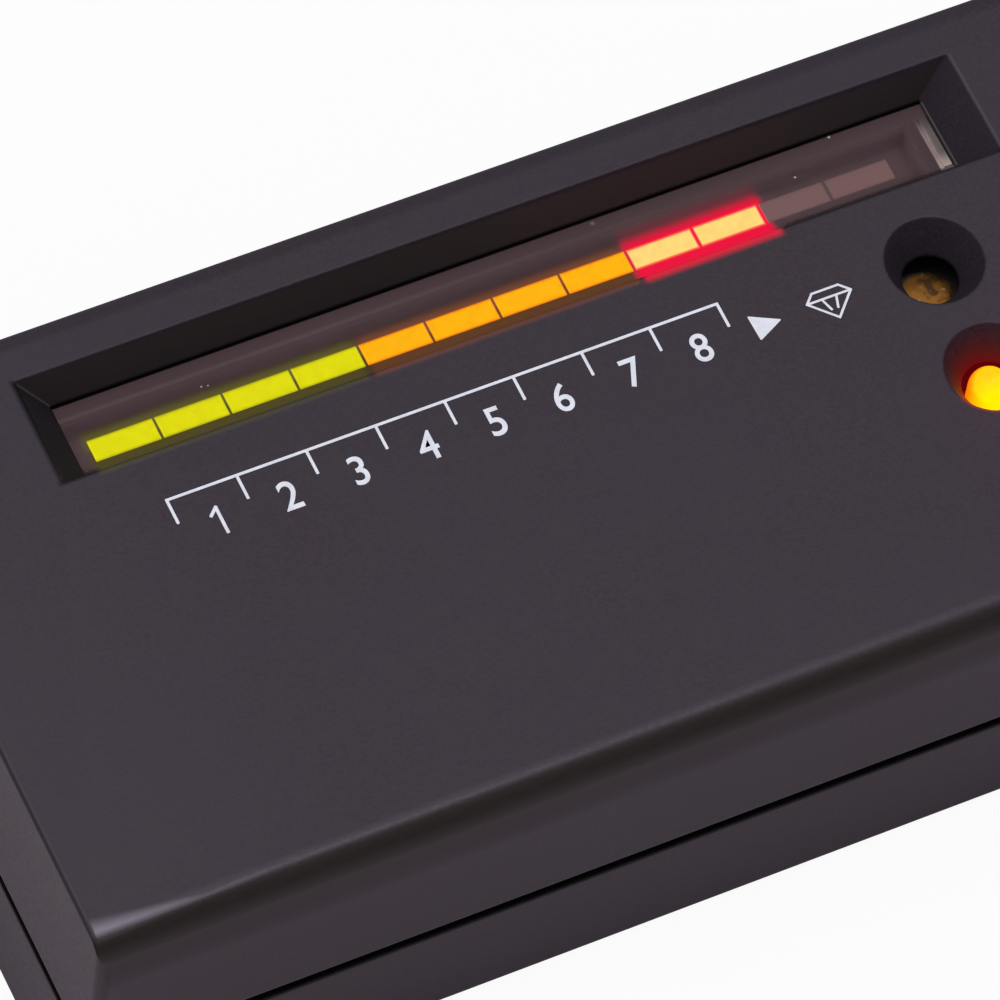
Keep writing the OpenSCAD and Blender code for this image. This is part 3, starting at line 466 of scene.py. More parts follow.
def shaded_edges(tree, base):
    """Base colour with painted shade and painted highlights along the upper half's edges and the frame's
    rims, painted light toward the tail, a pale corner line, and painted shade on the frame and in the funnel.

    The lines and the shade are painted where the photo shows them.
    """
    x, y, z = axes(tree)
    inward = minus(tree, x, CASE_LOW.x)
    tail_face = facing(tree, (-1.0, 0.0, 0.0))
    on_top = minus(tree, 1.0, tail_face)
    on_tail = times(tree, step(tree, z, TOP_Z - 0.00018, 0.00006), tail_face)
    beside = fit(tree, inward, 0.00008, 0.00019, 1.0, 0.0)
    above = step(tree, z, TOP_Z - 0.0023, 0.0003)
    # Painted shade: a dark line along the tail's top edge, on the top face and on the tail wall
    edge_shade_line = times(tree, plus(tree, on_top, on_tail), beside, above)
    top = step(tree, z, TOP_Z - 0.0003, 0.0001)
    # Painted highlight: a pale line on the top face beside the tail edge
    edge_highlight_line = times(tree, band(tree, inward, 0.00016, 0.00034, 0.00006), top)
    # Painted light: the top face lighter toward the tail end
    tail_painted_light = times(tree, fit(tree, x, CASE_LOW.x, CASE_LOW.x + 0.020, 0.30, 0.0), top)
    # Painted highlight along the top edge of the frame's front rim
    front_line = (x, RIM_FRONT + 0.00002, RIM_FRONT + 0.00025, 0.00005)
    front_rim_highlight = both(tree, front_line, (y, RIM_NEAR + 0.0001, RIM_FAR - 0.0001, 0.0002))
    # Painted olive shade on the near wall's upper part and the rounding above it
    near_side = fit(tree, y, CASE_LOW.y + 0.0011, CASE_LOW.y + 0.0015, 1.0, 0.0)
    height = smooth(tree, z, TOP_Z - 0.0055, TOP_Z - 0.0015, 0.0, 0.85)
    left_side = corner_side(tree, FLOOR_TAIL, 1.0)
    right_side = corner_side(tree, FLOOR_FRONT, -1.0)
    far_slope = (y, FLOOR_FAR - 0.0002, RIM_FAR - 0.00005, 0.0001)
    in_frame = both(tree, far_slope, (z, FLOOR_Z - 0.0001, TOP_Z - 0.0003, 0.0002))
    between = times(tree, step(tree, left_side, 0.0, 0.00003), step(tree, right_side, 0.0, 0.00003))
    # Painted olive shade on the frame's far wall
    far_wall = times(tree, in_frame, between)
    # Painted shade on the frame's sloped tail wall
    tail_slope = (x, RIM_TAIL - 0.0002, FLOOR_TAIL + 0.0001, 0.0001)
    left_wall = both(tree, tail_slope, (y, RIM_NEAR - 0.0002, RIM_FAR + 0.0002, 0.0001))
    left_wall = times(tree, left_wall, facing(tree, (1.0, 0.0, 0.0)))
    # Painted shade along the frame's tail rim and near rim
    tail_line = (x, RIM_TAIL - 0.00022, RIM_TAIL + 0.0001, 0.0001)
    left_rim = both(tree, tail_line, (y, RIM_NEAR - 0.0001, RIM_FAR + 0.0001, 0.0001))
    rim_shade = most(tree, near_rim(tree), left_rim, red_rim(tree))
    # A pale line along the corner between the frame's far wall and its tail slope
    pale_corner_line = times(tree, in_frame, band(tree, left_side, -0.00005, 0.00005, 0.00004))
    # Painted shade in the ready lamp's funnel
    radius = from_upright(tree, LAMP_MID.x, LAMP_MID.y)
    sunk = fit(tree, z, TOP_Z - 0.0003, TOP_Z, 1.0, 0.0)
    funnel = times(tree, fit(tree, radius, 0.0021, 0.0031, 0.85, 0.0), sunk)
    # Painted highlight along the foot of the frame's front wall
    front_foot = (x, FLOOR_FRONT - 0.0001, FLOOR_FRONT + 0.0003, 0.00002)
    foot = both(tree, front_foot, (z, FLOOR_Z - 0.00003, FLOOR_Z + 0.00017, 0.00002))
    sill_highlight = times(tree, foot, band(tree, y, 0.0118, 0.0174, 0.0001))
    return layered(tree, base, (
        (tail_painted_light, (0.036, 0.030, 0.042)),
        (times(tree, front_rim_highlight, top), (0.034, 0.031, 0.036)),
        (edge_highlight_line, (0.046, 0.040, 0.049)),
        (edge_shade_line, (0.0005, 0.0004, 0.0005)),
        (times(tree, near_side, height), (0.0180, 0.0147, 0.0116)),
        (times(tree, far_wall, 0.7), (0.0225, 0.0182, 0.0160)),
        (times(tree, left_wall, 0.8), (0.004, 0.0035, 0.005)),
        (times(tree, rim_shade, 0.9), (0.002, 0.0015, 0.002)),
        (times(tree, pale_corner_line, 0.35), (0.11, 0.10, 0.088)),
        (funnel, (0.002, 0.001, 0.001)),
        (sill_highlight, (0.11, 0.098, 0.10)),
    ))


def near_rim(tree, start=0.00998, full=0.01026):
    """Mask of the narrow strip of the top face along the display frame's near rim."""
    x, y = axes(tree)[:2]
    across = times(tree, smooth(tree, y, start, full, 0.0, 1.0), fit(tree, y, 0.0104, 0.0106, 1.0, 0.0))
    return times(tree, across, band(tree, x, RIM_TAIL - 0.0003, RIM_FRONT + 0.0001, 0.0001))


def rim_span(tree, low, high):
    """Mask of the stretch along X where the lamps from low to high light the near rim."""
    return band(tree, axes(tree)[0], low - LIGHT_SHIFT, high - LIGHT_SHIFT, 0.0003)


def red_rim(tree):
    """Mask of the near rim where the lit red lamps light it."""
    return times(tree, near_rim(tree, 0.0095, 0.0102), rim_span(tree, RED_LOW.x, LIT_RED_END + 0.0004))


def corner_side(tree, corner_x, way):
    """Distance in plan from a far corner line of the display frame, above 0 on the far wall."""
    x, y = axes(tree)[:2]
    across = times(tree, minus(tree, x, corner_x), 0.447 * way)
    along = times(tree, minus(tree, y, FLOOR_FAR), 0.894)
    return plus(tree, across, along)


def facing(tree, way):
    """1 on the faces that look along a direction and 0 on the others."""
    normal = put(tree, "ShaderNodeNewGeometry").outputs["Normal"]
    return step(tree, alignment(tree, normal, way), 0.6, 0.1)


def wall_lean(tree, depth):
    """Relief by which the long walls lean inward below the rounded top edges."""
    x, y, z = axes(tree)
    side = step(tree, maths(tree, "ABSOLUTE", y), CASE_HIGH.y - 0.0015, 0.0005)
    ahead = smooth(tree, x, 0.022, 0.044, 1.0, 0.0)
    behind = step(tree, x, CASE_LOW.x + 0.0006, 0.0004)
    drop = smooth(tree, z, TOP_Z - 0.0060, TOP_Z - 0.0007, 1.0, 0.0)
    return times(tree, drop, side, ahead, behind, depth)


def matt_places(tree):
    """Extra roughness on the frame's sloped walls and along the far edge."""
    x, y, z = axes(tree)
    frame_x = (x, RIM_TAIL - 0.0001, RIM_FRONT + 0.0001, 0.0001)
    frame_y = (y, RIM_NEAR - 0.0001, RIM_FAR + 0.0001, 0.0001)
    sunk = fit(tree, z, TOP_Z - 0.0004, TOP_Z - 0.0002, 1.0, 0.0)
    walls = times(tree, sunk, both(tree, frame_x, frame_y))
    far = step(tree, y, 0.0218, 0.0005)
    return times(tree, most(tree, walls, far), 0.35)


def rubbed_corner(tree):
    """Mask of a painted highlight on the near top edge: a pale wedge from the tail corner that fades along
    the edge.
    """
    x, y, z = axes(tree)
    tail = CASE_LOW.x
    edge_y = fit(tree, x, tail + 0.001, tail + 0.012, CASE_LOW.y + 0.00097, CASE_LOW.y + 0.00129)
    wedge = fit(tree, x, tail, tail + 0.008, 0.0017, 0.00036)
    height = minus(tree, y, edge_y)
    soft = smooth(tree, maths(tree, "DIVIDE", height, wedge), 0.25, 1.10, 1.0, 0.0)
    body = times(tree, soft, smooth(tree, height, -0.00022, 0.00016, 0.0, 1.0))
    top = step(tree, z, TOP_Z - 0.0010, 0.0002)
    strong = fit(tree, x, tail + 0.001, tail + 0.013, 0.72, 0.0)
    long_fade = fit(tree, x, tail + 0.001, tail + 0.060, 0.17, 0.0)
    fade = times(tree, plus(tree, strong, long_fade), step(tree, x, tail + 0.0002, 0.0001))
    return times(tree, body, top, fade)


def throw_lamp_light(tree, shader):
    """Light of the ready lamp in its funnel and beside it, and of the bar lamps on the frame."""
    x, y, z = axes(tree)
    radius = from_upright(tree, LAMP_MID.x, LAMP_MID.y)
    inside = fit(tree, z, TOP_Z - 0.0001, TOP_Z, 1.0, 0.0)
    funnel = times(tree, smooth(tree, radius, 0.0016, 0.0034, 0.085, 0.009), inside)
    close = times(tree, smooth(tree, radius, 0.0016, 0.0025, 0.05, 0.0), inside)
    near = times(tree, funnel, fit(tree, radius, 0.0036, 0.0038, 1.0, 0.0))
    across = times(tree, minus(tree, x, LAMP_MID.x), -0.50)
    along = times(tree, minus(tree, y, LAMP_MID.y), -0.87)
    lit_side = smooth(tree, plus(tree, across, along), 0.0026, 0.0034, 0.0, 0.30)
    rim = times(tree, band(tree, radius, 0.00330, 0.00362, 0.00010), lit_side)
    reach = from_upright(tree, LAMP_MID.x + 0.004, LAMP_MID.y - 0.004)
    trace = smooth(tree, reach, 0.002, 0.012, 0.010, 0.0)
    rim_strip = near_rim(tree, 0.0097, 0.0102)
    far_slope = (y, FLOOR_FAR - 0.0001, RIM_FAR - 0.0001, 0.0001)
    wall = both(tree, far_slope, (z, FLOOR_Z + 0.0001, TOP_Z - 0.0003, 0.0002))
    wall_glow = times(tree, wall, band(tree, x, RED_LOW.x - 0.010, LIT_RED_END + 0.006, 0.009))
    zones = (
        (plus(tree, near, rim, close, trace), RED_LIGHT, 1.0),
        (times(tree, rim_strip, rim_span(tree, GREEN_LOW.x, GREEN_HIGH.x)), (0.95, 1.0, 0.03), 0.028),
        (times(tree, rim_strip, rim_span(tree, AMBER_LOW.x, AMBER_HIGH.x)), (1.0, 0.26, 0.02), 0.088),
        (red_rim(tree), RED_LIGHT, 0.66),
        (wall_glow, (1.0, 0.33, 0.33), 0.0065),
    )
    set_inputs(tree, shader, {"Emission Color": sum_of_light(tree, zones), "Emission Strength": 1.0})


def sum_of_light(tree, zones):
    """Colour of several lights together, each given by its mask, colour and strength."""
    total = None
    for zone, colour, strength in zones:
        part = blend(tree, times(tree, zone, strength), (0.0, 0.0, 0.0), colour)
        if total is None:
            total = part
        else:
            add = put(tree, "ShaderNodeMix", {"Factor": 1.0}, data_type="RGBA", blend_type="ADD")
            tree.links.new(total, add.inputs[6])
            tree.links.new(part, add.inputs[7])
            total = add.outputs[2]
    return total


def smoked_window(name):
    """Clear smoked sheet with painted shade along its long edges, a brown border painted at its far side and
    front end in the lit holder's colour with painted light along its inner edge, a strip of tape at its front
    end and a little dust.
    """
    material, tree, shader = start_material(name)
    x, y, z = axes(tree)
    haze = noise(tree, 260.0, 2.0, stretched(tree, (0.3, 1.0, 1.0)))
    tint = blend(tree, haze, (0.012, 0.007, 0.008), (0.020, 0.012, 0.013))
    brown = blend(tree, haze, (0.054, 0.034, 0.038), (0.064, 0.040, 0.045))
    tone, strip = tape_strip(tree)
    # A brown border painted over the far side and the front end, in the colour of the lit holder, where the
    # holder beneath lies in shade or ends
    painted_lit_border = most(tree, smooth(tree, y, 0.0152, 0.0166, 0.0, 1.0), smooth(tree, x, 0.0142, 0.0156, 0.0, 1.0))
    half_way = plus(tree, 0.4, times(tree, painted_lit_border, 0.6))
    # Painted light along the border's inner edge, against the shade that the border casts on the holder
    border_fill_light = times(tree, painted_lit_border, minus(tree, 1.3, times(tree, painted_lit_border, 1.3)))
    fade = smooth(tree, x, -0.030, 0.004, 0.36, 0.08)
    far_line = times(tree, band(tree, y, 0.01628, 0.01650, 0.00016), fade)
    # Painted shade: a black line along the foot of the frame's far wall
    far_shade_line = step(tree, y, 0.01744, 0.00005)
    lit_part = band(tree, x, GREEN_LOW.x - 0.0005, LIT_RED_END + 0.0006, 0.0003)
    # Painted shade along the near rim, beside the lamps that are not lit
    near_shade_ramp = fit(tree, y, 0.01204, 0.01216, 0.75, 0.0)
    near_shade = times(tree, near_shade_ramp, fit(tree, lit_part, 0.0, 1.0, 1.0, 0.0))
    specks = []
    for spot_x, spot_y, size, strength in DUST:
        away = from_upright(tree, spot_x, spot_y)
        specks.append(fit(tree, away, 0.4 * size, size, strength, 0.0))
    speck = most(tree, *specks)
    plain = blend(tree, maths(tree, "DIVIDE", painted_lit_border, half_way), tint, brown)
    shown = layered(tree, plain, (
        (border_fill_light, (0.110, 0.072, 0.079)),
        (far_line, (0.135, 0.102, 0.100)),
        (strip, tone),
        (far_shade_line, (0.002, 0.002, 0.002)),
        (near_shade, (0.020, 0.010, 0.014)),
        (speck, (0.42, 0.38, 0.37)),
    ))
    cover = most(tree, speck, far_shade_line, near_shade, strip, painted_lit_border, far_line)
    solid = plus(tree, 0.40, times(tree, cover, 0.58))
    upper_face = step(tree, z, (WINDOW_LOW.z + WINDOW_HIGH.z) / 2, 0.0002)
    set_inputs(tree, shader, {
        "Base Color": shown,
        "Alpha": times(tree, solid, fit(tree, upper_face, 0.0, 1.0, 0.02, 1.0)),
        "Roughness": fit(tree, haze, 0.2, 0.8, 0.10, 0.17),
        "Specular IOR Level": 0.05,
    })
    return material


def tape_strip(tree):
    """Colour and mask of the tape across the window's front end, which fades to the far side."""
    x, y = axes(tree)[:2]
    fibre = noise(tree, 2600.0, 3.0, stretched(tree, (1.0, 0.12, 1.0)))
    across = band(tree, x, 0.01592, 0.01720, 0.00006)
    along = smooth(tree, y, 0.0147, 0.0166, 1.0, 0.0)
    pale = blend(tree, fit(tree, fibre, 0.3, 0.7, 0.0, 1.0), (0.20, 0.155, 0.155), (0.25, 0.195, 0.195))
    tone = layered(tree, pale, (
        (smooth(tree, x, 0.0160, 0.0165, 0.0, 0.92), (0.095, 0.076, 0.076)),
        (smooth(tree, y, 0.0121, 0.0134, 1.0, 0.0), (0.34, 0.275, 0.25)),
    ))
    return tone, times(tree, across, along)


def clear_tape(name):
    """Thin adhesive tape with fibres across it, painted light on its side faces and painted shade where it
    meets the frame's front wall.
    """
    material, tree, shader = start_material(name)
    tone, strip = tape_strip(tree)
    # Painted light: the side faces made as pale as the top
    sides = most(tree, facing(tree, (-1.0, 0.0, 0.0)), facing(tree, (0.0, -1.0, 0.0)))
    # Painted shade: a dark line where the tape meets the frame's front wall
    cut = step(tree, axes(tree)[0], 0.01678, 0.00004)
    shown = layered(tree, blend(tree, strip, (0.059, 0.037, 0.041), tone), (
        (times(tree, sides, strip), (0.88, 0.73, 0.71)),
        (cut, (0.004, 0.003, 0.003)),
    ))
    set_inputs(tree, shader, {"Base Color": shown, "Roughness": 0.5, "Specular IOR Level": 0.1})
    return material


def lamp_holder(name, lamps):
    """Dark holder round the bar lamps, with the light that they throw on it, painted shade along its near
    side, and painted light under the window's border.
    """
    material, tree, shader = start_material(name)
    x, y = axes(tree)[:2]
    grain = noise(tree, 3200.0)
    near = RED_LOW.y
    far = RED_HIGH.y
    gap = AMBER_LOW.x - GREEN_HIGH.x
    below = smooth(tree, y, near - 0.0020, near, 0.0, 1.0)
    around = times(tree, below, smooth(tree, y, far, far + 0.0009, 1.0, 0.0))
    close_by = times(tree, below, smooth(tree, y, far + 0.0003, far + 0.0011, 1.0, 0.0))
    red_x = band(tree, x, RED_LOW.x - 0.0002, LIT_RED_END + 0.0003, 0.0004)
    red_below = smooth(tree, y, near - 0.0026, near - 0.0008, 0.40, 1.0)
    red_close = smooth(tree, y, far, far + 0.0011, 0.96, 0.0)
    red_above = plus(tree, red_close, fit(tree, y, far, far + 0.0030, 0.18, 0.0))
    red_zone = times(tree, red_x, times(tree, red_below, red_above))
    # Painted light under the window's border, against the shade that the border casts on the holder
    painted_light_under_border = most(tree, smooth(tree, y, 0.0156, 0.0167, 0.0, 1.0), smooth(tree, x, 0.0146, 0.0158, 0.0, 1.0))
    lit_row = band(tree, x, GREEN_LOW.x - 0.0003, AMBER_HIGH.x, 0.0004)
    by_amber = step(tree, x, (GREEN_HIGH.x + AMBER_LOW.x) / 2, 0.0003)
    above = blend(tree, by_amber, (0.19, 0.155, 0.045), (0.26, 0.108, 0.075))
    tinge = blend(tree, step(tree, y, (near + far) / 2, 0.0002), (0.080, 0.050, 0.018), above)
    ends = lamp_ends(tree, gap)
    unlit_ends = band(tree, x, LIT_RED_END, RED_HIGH.x, 0.00002)
    toned = layered(tree, blend(tree, grain, (0.190, 0.120, 0.135), (0.232, 0.148, 0.165)), (
        (painted_light_under_border, (0.58, 0.36, 0.42)),
        # Painted shade along the holder's near side
        (fit(tree, y, 0.0127, 0.0134, 0.45, 0.0), (0.060, 0.043, 0.048)),
        (times(tree, lit_row, close_by, 0.92), tinge),
        (red_zone, (0.30, 0.008, 0.020)),
        (times(tree, ends, unlit_ends), lamps.unlit),
    ))
    green_x = band(tree, x, GREEN_LOW.x - 0.0003, GREEN_HIGH.x, 0.0004)
    amber_x = band(tree, x, AMBER_LOW.x, AMBER_HIGH.x, 0.0004)
    amber_start = AMBER_LOW.x - gap / 2
    red_start = RED_LOW.x - gap / 2
    green_ends = band(tree, x, GREEN_LOW.x, amber_start, 0.00002)
    amber_ends = band(tree, x, amber_start, red_start, 0.00002)
    red_ends = band(tree, x, red_start, LIT_RED_END, 0.00002)
    zones = (
        (times(tree, green_x, around), scaled(lamps.green, 0.9), 0.07),
        (times(tree, amber_x, around), (0.9, 0.25, 0.0), 0.10),
        (red_zone, lamps.halo, 0.9),
        (times(tree, ends, green_ends), scaled(lamps.green, 0.8), 1.0),
        (times(tree, ends, amber_ends), (1.0, 0.30, 0.0), 1.0),
        (times(tree, ends, red_ends), (1.0, 0.20, 0.08), 0.8),
    )
    set_inputs(tree, shader, {
        "Base Color": toned,
        "Roughness": 0.6,
        "Specular IOR Level": 0.05,
        "Emission Color": sum_of_light(tree, zones),
        "Emission Strength": 1.5,
    })
    bump(tree, shader, grain, 0.00001, 0.5)
    return material


def lamp_ends(tree, gap):
    """Mask of the two sides of each gap between the bar lamps, where their ends light the holder."""
    x, y = axes(tree)[:2]
    lamps_before_red = 8
    pitch = (RED_LOW.x - GREEN_LOW.x) / lamps_before_red
    turn = maths(tree, "FRACT", maths(tree, "DIVIDE", minus(tree, x, GREEN_LOW.x), pitch))
    past = fit(tree, turn, 1.0 - 0.85 * gap / pitch, 1.0 - 0.65 * gap / pitch, 1.0, 0.0)
    before = fit(tree, turn, 1.0 - 0.35 * gap / pitch, 1.0 - 0.15 * gap / pitch, 0.0, 1.0)
    return times(tree, most(tree, past, before), band(tree, y, RED_LOW.y, RED_HIGH.y, 0.00005))


def bar_lamp(name, colour, strength, lamps, rim, lit_until=None):
    """Diffused lens of a bar lamp, brighter in its middle than along its edges."""
    material, tree, shader = start_material(name)
    x, y = axes(tree)[:2]
    middle = band(tree, y, RED_LOW.y + 0.00012, RED_HIGH.y - 0.00012, 0.00007)
    mottle = fit(tree, noise(tree, 1500.0), 0.3, 0.7, 0.92, 1.06)
    power = times(tree, mottle, strength)
    lens = blend(tree, middle, scaled(rim, 0.2), scaled(colour, 0.25))
    if lit_until is not None:
        lit = fit(tree, x, lit_until - 0.0001, lit_until + 0.0001, 1.0, 0.0)
        off = blend(tree, middle, scaled(lamps.unlit, 0.8), lamps.unlit)
        lens = blend(tree, lit, off, lens)
        power = times(tree, power, lit)
    set_inputs(tree, shader, {
        "Base Color": lens,
        "Emission Color": blend(tree, middle, rim, colour),
        "Emission Strength": power,
        "Roughness": 0.4,
        "Specular IOR Level": 0.05,
    })
    return material


def ready_lens(name, strength):
    """Clear lens of the ready lamp, yellow at its crown and red at its foot."""
    material, tree, shader = start_material(name)
    y = axes(tree)[1]
    away = from_upright(tree, LAMP_MID.x + 0.00005, LAMP_MID.y - 0.0003)
    crown = smooth(tree, away, 0.00120, 0.00175, 1.0, 0.0)
    foot = smooth(tree, away, 0.00172, 0.00192, 0.0, 1.0)
    near_half = fit(tree, minus(tree, y, LAMP_MID.y), -0.0011, 0.0002, 1.0, 0.0)
    yellow = blend(tree, near_half, (0.97, 0.62, 0.006), (1.0, 0.86, 0.0))
    border = blend(tree, foot, (1.0, 0.20, 0.0), (0.16, 0.0, 0.0))
    grain = fit(tree, noise(tree, 1800.0), 0.3, 0.7, 0.95, 1.05)
    set_inputs(tree, shader, {
        "Base Color": blend(tree, crown, (0.20, 0.004, 0.004), (0.24, 0.012, 0.002)),
        "Emission Color": blend(tree, crown, border, yellow),
        "Emission Strength": times(tree, grain, strength),
        "Roughness": 0.25,
        "Specular IOR Level": 0.05,
    })
    return material


def metal(name, colour, dark, rough, lines, tarnish):
    """Plated or turned metal: fine lines along one way, and duller patches."""
    material, tree, shader = start_material(name)
    brush = noise(tree, 2400.0, 3.0, stretched(tree, lines))
    dull = fit(tree, noise(tree, 420.0, 3.0), 0.40, 0.72, 0.0, tarnish)
    polish = fit(tree, brush, 0.3, 0.7, rough, rough + 0.14)
    set_inputs(tree, shader, {
        "Base Color": blend(tree, dull, colour, dark),
        "Metallic": 1.0,
        "Roughness": plus(tree, polish, times(tree, dull, 0.25)),
    })
    bump(tree, shader, brush, 0.000004, 0.5)
    return material


def plain_finish(name, colour, rough, grain, depth=0.00001, spread=0.15):
    """Plastic, ceramic, lacquer or vinyl with its own grain and slight unevenness of colour."""
    material, tree, shader = start_material(name)
    fine = noise(tree, 1.0 / grain, 3.0)
    mixed = times(tree, plus(tree, fine, noise(tree, 180.0)), 0.5)
    share = fit(tree, mixed, 0.35, 0.65, 0.0, 1.0)
    set_inputs(tree, shader, {
        "Base Color": blend(tree, share, scaled(colour, 1.0 - spread), scaled(colour, 1.0 + spread)),
        "Roughness": fit(tree, fine, 0.3, 0.7, rough - 0.05, rough + 0.06),
    })
    bump(tree, shader, fine, depth, 0.6)
    return material


# Tools for new pieces

def clear_selection():
    """Leaves object mode with nothing selected."""
    if bpy.context.mode != "OBJECT":
        bpy.ops.object.mode_set(mode="OBJECT")
    bpy.ops.object.select_all(action="DESELECT")


def keep_upright_edges(piece):
    """In edit mode, keeps only the edges along Z selected, of those that are."""
    bpy.ops.mesh.select_mode(type="EDGE")
    mesh = bmesh.from_edit_mesh(piece.data)
    upright = []
    for edge in mesh.edges:
        run = edge.verts[1].co - edge.verts[0].co
        if edge.select and abs(run.z) > 0.99 * run.length:
            upright.append(edge)
    bpy.ops.mesh.select_all(action="DESELECT")
    for edge in upright:
        edge.select_set(True)
    bmesh.update_edit_mesh(piece.data)


def printed_strokes(name, strokes, width, proud, material):
    """One printed piece of straight strokes with rounded ends, each from one point to another."""
    clear_selection()
    sunk = INK_SUNK * proud
    height = proud + sunk
    mid_z = TOP_Z + (proud - sunk) / 2
    for number, (start, end) in enumerate(strokes):
        run = Vector((end[0] - start[0], end[1] - start[1], 0.0))
        centre = ((start[0] + end[0]) / 2, (start[1] + end[1]) / 2, mid_z)
        turn = math.atan2(run.y, run.x)
        if number > 0:
            bpy.ops.mesh.select_all(action="DESELECT")
        bpy.ops.mesh.primitive_cube_add(
            size=1.0, location=centre, rotation=(0.0, 0.0, turn), scale=(run.length + width, width, height)
        )
        if number == 0:
            piece = bpy.context.active_object
            piece.name = name
            bpy.ops.object.transform_apply(location=True, rotation=True, scale=True)
            bpy.ops.object.mode_set(mode="EDIT")
            bpy.ops.mesh.select_all(action="SELECT")
        keep_upright_edges(piece)
        bpy.ops.mesh.bevel(offset=0.3 * width, segments=3, affect="EDGES")
        bpy.ops.mesh.select_linked()
        if number > 0:
            bpy.ops.mesh.intersect_boolean(operation="UNION", solver="EXACT")
    bpy.ops.object.mode_set(mode="OBJECT")
    return finish_print(piece, material)


def wire_piece(name, routes, diameter, material, body, node):
    """Round wires along their routes, in place of a solid."""
    clear_selection()
    curve = bpy.data.curves.new(name, "CURVE")
    curve.dimensions = "3D"
    curve.bevel_depth = diameter / 2
    curve.bevel_resolution = 4
    curve.use_fill_caps = True
    curve.resolution_u = 5
    for route in routes:
        spline = curve.splines.new("BEZIER")
        spline.bezier_points.add(len(route) - 1)
        for point, spot in zip(spline.bezier_points, route):
            point.co = spot
            point.handle_left_type = "AUTO"
            point.handle_right_type = "AUTO"
    piece = bpy.data.objects.new(name, curve)
    bpy.context.scene.collection.objects.link(piece)
    piece.select_set(True)
    bpy.context.view_layer.objects.active = piece
    bpy.ops.object.convert(target="MESH")
    bpy.ops.object.shade_smooth_by_angle(angle=math.radians(50))
    piece = bpy.context.active_object
    piece.data.materials.clear()
    piece.data.materials.append(material)
    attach(piece, body)
    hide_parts(node)
    return piece


def finish_print(piece, material):
    """Ink on the case: material, slot and body."""
    piece.data.materials.clear()
    piece.data.materials.append(material)
    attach(piece, "case")
    return piece


def ink(name, colour):
    """Printed ink, a little uneven, with a soft sheen."""
    material, tree, shader = start_material(name)
    patch = noise(tree, 1500.0, 3.0)
    share = fit(tree, patch, 0.35, 0.65, 0.0, 1.0)
    set_inputs(tree, shader, {
        "Base Color": blend(tree, share, scaled(colour, 0.93), scaled(colour, 1.05)),
        "Roughness": 0.55,
    })
    bump(tree, shader, patch, 0.000004, 0.4)
    return material


def ink_of(scene):
    """The print's one material."""
    return bpy.data.materials.get("print_ink") or ink("print_ink", scene.tester_print.ink)


# Operators, one for each piece or group of like pieces

